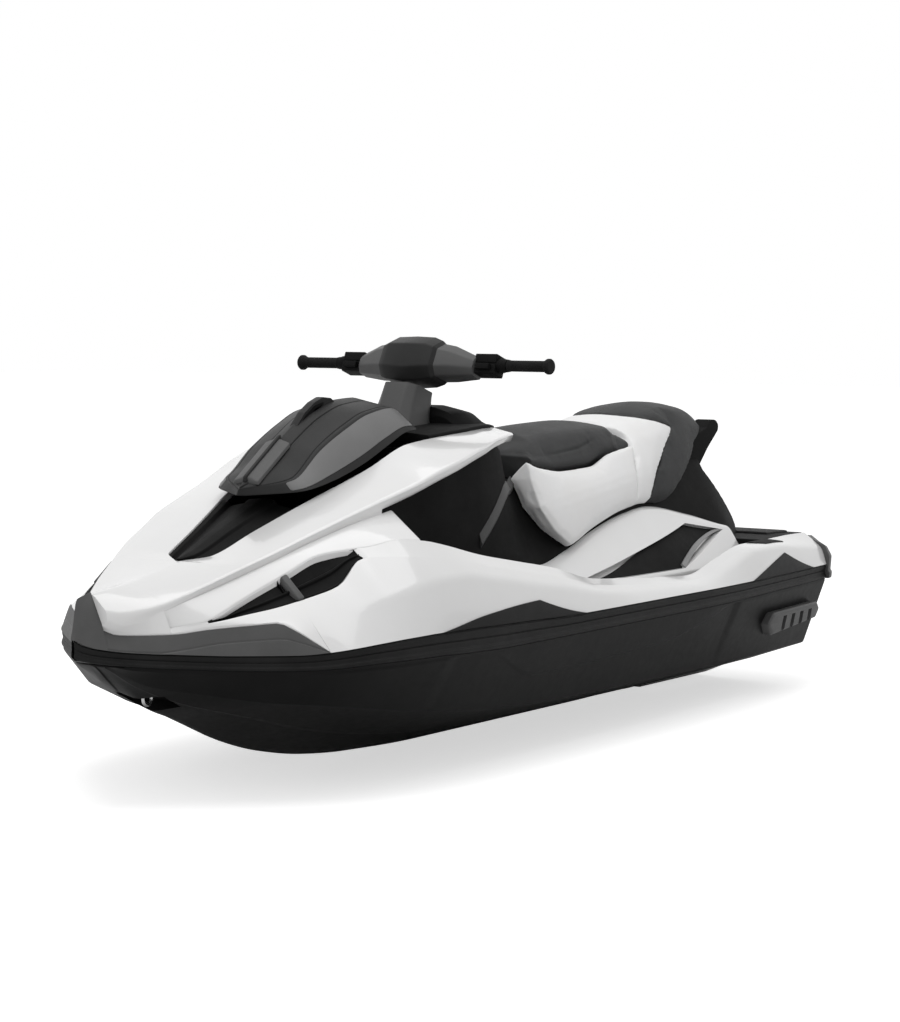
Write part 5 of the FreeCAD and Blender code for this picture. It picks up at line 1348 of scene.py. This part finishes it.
# From the pad's side, the bar's line aft and up: x, y, z from and to, then the edge radius
HOUSING_BOXES = ((-0.004, 0.074, -0.025, 0.028, 0.0015, 0.030),
                 (-0.004, 0.074, -0.025, 0.028, -0.032, -0.0015),
                 (-0.004, 0.072, -0.022, 0.025, -0.004, 0.004, HAIRLINE),
                 (0.012, 0.060, -0.040, -0.022, -0.022, -0.004, FINE))
HOUSING_COLLAR = ((0.072, 0.021), (0.076, 0.022), (0.090, 0.022), (0.094, 0.020), (HOUSING_LENGTH, 0.019))
BAR_SEGMENTS = 40
GRIP_LENGTH = 0.135
GRIP_RIDGE_STEP = 0.0055
PAD_SECTIONS = ((0.0, ((-0.062, 0.166), (-0.052, 0.242), (0.0, 0.281), (0.062, 0.269), (0.088, 0.207),
                       (0.062, 0.136), (-0.034, 0.130))),
                (0.070, ((-0.056, 0.172), (-0.048, 0.241), (0.0, 0.277), (0.062, 0.265), (0.086, 0.207),
                         (0.060, 0.141), (-0.030, 0.138))),
                (0.140, ((-0.020, 0.185), (-0.016, 0.231), (0.012, 0.257), (0.062, 0.251), (0.082, 0.207),
                         (0.062, 0.157), (0.0, 0.159))),
                (PAD_HALF, ((0.010, 0.189), (0.012, 0.213), (0.026, 0.231), (0.062, 0.229), (0.078, 0.207),
                            (0.064, 0.167), (0.022, 0.169))))


def make_bar_pad():
    """The faceted pad over the handlebar: a dark middle and two wings that taper out, made paler by a
    painted highlight.
    """
    def section(x, outline, swell=0.0):
        size = max(abs(z - BAR_UP) for _, z in outline)
        k = 1 + swell / size
        return [tilted(x, BAR_AFT + (p.x - BAR_AFT) * k, BAR_UP + (p.y - BAR_UP) * k)
                for p in eased_corners(outline, 0.005)]

    middle = PAD_SECTIONS[1][1]
    half = [(0.066, 0.003), (0.092, -0.006), (0.104, -0.018), (0.106, -0.032)]
    rings = [section(-x, middle, swell) for x, swell in reversed(half)]
    rings += [section(0.0, PAD_SECTIONS[0][1], 0.002)] + [section(x, middle, swell) for x, swell in half]
    pad = add_piece("bar_pad_cover", *joined(rings), crease=25)
    dress(pad, "lid", "steering", "lid_charcoal", "bar_pad")
    wings = []
    for side in (1, -1):
        rows = [section(side * 0.090, middle, -0.022), section(side * 0.098, middle, -0.014)]
        rows += [section(side * x, outline) for x, outline in PAD_SECTIONS[2:]]
        rows.append(section(side * (PAD_HALF + 0.002), PAD_SECTIONS[-1][1], -0.006))
        wings.append(add_piece("pad_wing", *joined(rows), crease=20))
    # The wings' paler charcoal is a painted highlight on the pad's side facets
    dress(together("bar_pad_wings", wings, crease=20), "lid_highlight_soft", "steering", "lid_charcoal")


make_bar_pad()


def bar_rings(side, profile):
    """Round rings about the handlebar: distances from the middle and radii."""
    turns = [2 * math.pi * i / BAR_SEGMENTS for i in range(BAR_SEGMENTS)]
    return [[tilted(side * x, BAR_AFT + r * math.cos(t), BAR_UP + r * math.sin(t)) for t in turns]
            for x, r in profile]


def make_switch_housings():
    """Two half shells on each side of the pad, with a lever block and a round collar."""
    def box(side, x0, x1, y0, y1, z0, z1, ease=EASED):
        rings = []
        for x, inset in ((x0, ease / 2), (x0 + ease / 2, 0.0), (x1 - ease / 2, 0.0), (x1, ease / 2)):
            outline = [(y0 + inset, z0 + inset), (y1 - inset, z0 + inset), (y1 - inset, z1 - inset),
                       (y0 + inset, z1 - inset)]
            rings.append([tilted(side * (PAD_HALF + x), BAR_AFT + p.x, BAR_UP + p.y)
                          for p in eased_corners(outline, ease)])
        return add_piece("housing", *joined(rings), crease=30)

    pieces = []
    for side in (1, -1):
        pieces += [box(side, *sizes) for sizes in HOUSING_BOXES]
        collar = [(PAD_HALF + x, r) for x, r in HOUSING_COLLAR]
        pieces.append(add_piece("housing_ring", *joined(bar_rings(side, collar))))
    housings = together("switch_housing_pair", pieces, crease=30)
    dress(housings, "trim", "steering", "trim_black", "switch_housings")


make_switch_housings()


def make_grips():
    """Ribbed rubber grips with a flange at each end."""
    start = PAD_HALF + HOUSING_LENGTH
    end = start + GRIP_LENGTH
    profile = [(start, 0.016), (start + 0.002, 0.018), (start + 0.006, 0.018), (start + 0.008, 0.016)]
    x = start + 0.010
    while x < end - 0.006:
        profile += [(x, 0.0155), (x + 0.0012, 0.0168), (x + 0.0028, 0.0168), (x + 0.004, 0.0155)]
        x += GRIP_RIDGE_STEP
    profile += [(end - 0.004, 0.016), (end, 0.020), (end + 0.006, 0.0235), (end + 0.014, 0.0235),
                (end + 0.018, 0.0205)]
    pieces = [add_piece("grip", *joined(bar_rings(side, profile)), crease=50) for side in (1, -1)]
    grips = together("hand_grips", pieces, crease=50)
    dress(grips, "grip", "steering", "grip_rubber", "grips")


make_grips()

NECK_FOOT_PLAN = ((0.038, -0.088), (0.075, -0.060), (0.082, 0.030), (0.058, 0.080))
NECK_TOP_PLAN = ((0.040, -0.062), (0.062, -0.035), (0.066, 0.040), (0.044, 0.068))
NECK_TOP = 0.116


def make_column_cover():
    """The neck under the handlebar, from a flat foot on the console to the leaning column."""
    foot_z = opening.z(STEER_FOOT.y) + 0.010
    low = [placed(p.x, STEER_FOOT.y + p.y, foot_z) for p in eased_corners(mirrored(NECK_FOOT_PLAN), 0.008)]
    top = eased_corners(mirrored(NECK_TOP_PLAN), 0.008)
    high = [tilted(p.x, p.y, NECK_TOP) for p in top]
    inner = [tilted(p.x * 0.94, p.y * 0.94, NECK_TOP) for p in top]
    rings = [low]
    for t in (i / 8 for i in range(1, 8)):
        waist = 1 - 0.03 * math.sin(math.pi * t)
        rings.append([tuple((a + (b - a) * t) * k for a, b, k in zip(p, q, (waist, 1, 1)))
                      for p, q in zip(low, high)])
    rings += [high, inner]
    cover = add_piece("column_cover_moulding", *joined(rings), crease=30)
    # The neck's paler charcoal is a painted highlight; its own colour is the dark lid charcoal
    dress(cover, "lid_highlight_soft", "craft", "lid_charcoal", "column_cover")


make_column_cover()

# Along the craft, half width and rise
GAUGE_SECTIONS = ((1.500, 0.170, 0.030), (1.512, 0.180, 0.052), (1.560, 0.200, 0.056),
                  (1.610, 0.205, 0.046), (1.640, 0.195, 0.020))


def make_gauge():
    floor = opening.z(Y_COWL_END)
    rings = []
    for y, half, rise in GAUGE_SECTIONS:
        top = floor + 2 * CONSOLE_RISE + rise
        outline = mirrored([(half, floor - CONSOLE_RISE), (half, floor + CONSOLE_RISE),
                            (half * 0.72, top - rise * 0.30), (half * 0.40, top)])
        rings.append([placed(p.x, y, p.y) for p in eased_corners(outline, 0.012)])
    dome = add_piece("gauge_hood", *joined(rings), crease=30)
    dress(dome, "trim", "craft", "panel_gloss", "gauge")


make_gauge()


# Fittings

SPONSON_PROFILE = ((2.785, 0.262), (2.805, 0.299), (3.195, 0.299), (3.228, 0.274), (3.215, 0.240),
                   (2.845, 0.217))
SPONSON_MIDDLE = (3.010, 0.260)
# How far each ring of a sponson stands off the hull and how far it closes in
SPONSON_ROWS = ((-0.004, 0.0), (0.026, 0.0), (0.032, 0.004), (0.034, 0.010))


def make_sponsons():
    def side_at(y, z):
        x0, z0 = chine(y)
        x1, z1 = rail_low(y)[0] - HULL_STEP, rail_low(y)[1]
        return x0 + (x1 - x0) * (z - z0) / (z1 - z0)

    pieces = []
    my, mz = SPONSON_MIDDLE
    outline = eased_corners(SPONSON_PROFILE, 0.008)
    for side in (1, -1):
        rings = []
        for depth, inset in SPONSON_ROWS:
            ring = []
            for p in outline:
                y, z = my + (p.x - my) * (1 - inset / 0.2), mz + (p.y - mz) * (1 - inset / 0.034)
                ring.append((side * (side_at(y, z) + depth), y - BOW_TO_ORIGIN, z - DRAFT))
            rings.append(ring)
        body = add_piece("sponson", *joined(rings), crease=30)
        rooms = []
        for y in (2.895 + 0.075 * i for i in range(4)):
            face = side_at(y, 0.258)
            slot = ((y, 0.280), (y + 0.030, 0.280), (y + 0.052, 0.200), (y + 0.022, 0.200))
            rooms.append(block("slot_room", slot, side * (face + 0.012), side * (face + 0.06)))
        pieces.append(cut_away(body, rooms))
    fins = together("sponson_pair", pieces, crease=30)
    dress(fins, "bumper", "craft", "bumper_charcoal", "sponsons")


make_sponsons()

# Nodes shown as they are, by finish
KEPT = {"hull": ("deck",), "trim": ("storage_bin",), "dark_metal": ("engine", "handlebar"),
        "stainless": ("steering_stem", "impeller", "drive_shaft", "bow_eye", "stern_eyes", "tow_hook"),
        "alloy": ("pump_housing", "nozzle", "reverse_bucket", "ride_plate", "intake_grate")}
for key, names in KEPT.items():
    for name in names:
        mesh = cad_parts[name].data
        mesh.materials.clear()
        mesh.materials.append(FINISHES[key])


# Floor, light and camera

FLOOR_Z = -DRAFT
FLOOR_HALF = 30
FLOOR_GLOW = 0.60


def make_studio():
    floor_finish = bpy.data.materials.new("studio_floor")
    floor_finish.use_nodes = True
    tree = floor_finish.node_tree
    shader = tree.nodes["Principled BSDF"]
    shader.inputs["Roughness"].default_value = 0.9
    shader.inputs["Specular IOR Level"].default_value = 0.1
    where = object_place(tree)
    tone = ranged(tree, noise_at(tree, where, 3.0), to_min=0.93, to_max=0.97)
    mixed = node(tree, "ShaderNodeCombineColor", {0: tone, 1: tone, 2: tone})
    tree.links.new(mixed.outputs[0], shader.inputs["Base Color"])
    rays = node(tree, "ShaderNodeLightPath")
    glow = maths(tree, "MULTIPLY", rays.outputs["Is Camera Ray"], FLOOR_GLOW)
    shader.inputs["Emission Color"].default_value = (1, 1, 1, 1)
    tree.links.new(glow, shader.inputs["Emission Strength"])
    plan = ((-1, -1), (1, -1), (1, 1), (-1, 1))
    corners = [(i * FLOOR_HALF, j * FLOOR_HALF, FLOOR_Z) for i, j in plan]
    floor = add_piece("studio_floor", corners, [(0, 1, 2, 3)])
    floor.data.materials.append(floor_finish)

    world = bpy.data.worlds.new("studio")
    bpy.context.scene.world = world
    world.use_nodes = True
    tree = world.node_tree
    back = tree.nodes["Background"]
    rays = node(tree, "ShaderNodeLightPath")
    seen = maths(tree, "MAXIMUM", rays.outputs["Is Camera Ray"], rays.outputs["Is Glossy Ray"])
    seen = maths(tree, "MAXIMUM", seen, rays.outputs["Is Transmission Ray"])
    back.inputs["Color"].default_value = (1, 1, 1, 1)
    tree.links.new(ranged(tree, seen, to_min=0.50, to_max=1.0), back.inputs["Strength"])

    for name, place, aim, size, power in (("overhead_softbox", (0.5, -0.6, 4.6), (0, 0, 0.3), 4.5, 110),
                                          ("bow_softbox", (-2.5, -5.5, 3.0), (0, -0.6, 0.4), 3.0, 30)):
        lamp = bpy.data.lights.new(name, "AREA")
        lamp.size = size
        lamp.energy = power
        holder = bpy.data.objects.new(name, lamp)
        holder.location = place
        holder.rotation_euler = (Vector(aim) - Vector(place)).to_track_quat("-Z", "Y").to_euler()
        bpy.context.scene.collection.objects.link(holder)


make_studio()

CAMERA_PLACE = (4.636, -6.567, 1.101)
CAMERA_AZIMUTH = math.radians(35)
CAMERA_PITCH = math.radians(4.64)
FOCAL_LENGTH = 91.6
SENSOR_WIDTH = 36.0


def make_camera():
    lens = bpy.data.cameras.new("photo_view")
    lens.lens = FOCAL_LENGTH
    lens.sensor_width = SENSOR_WIDTH
    lens.sensor_fit = "AUTO"
    camera = bpy.data.objects.new("photo_view", lens)
    camera.location = CAMERA_PLACE
    flat = math.cos(CAMERA_PITCH)
    aim = Vector((-math.sin(CAMERA_AZIMUTH) * flat, math.cos(CAMERA_AZIMUTH) * flat,
                  -math.sin(CAMERA_PITCH)))
    camera.rotation_euler = aim.to_track_quat("-Z", "Y").to_euler()
    bpy.context.scene.collection.objects.link(camera)
    bpy.context.scene.camera = camera


make_camera()
bpy.context.scene.view_settings.view_transform = "Standard"
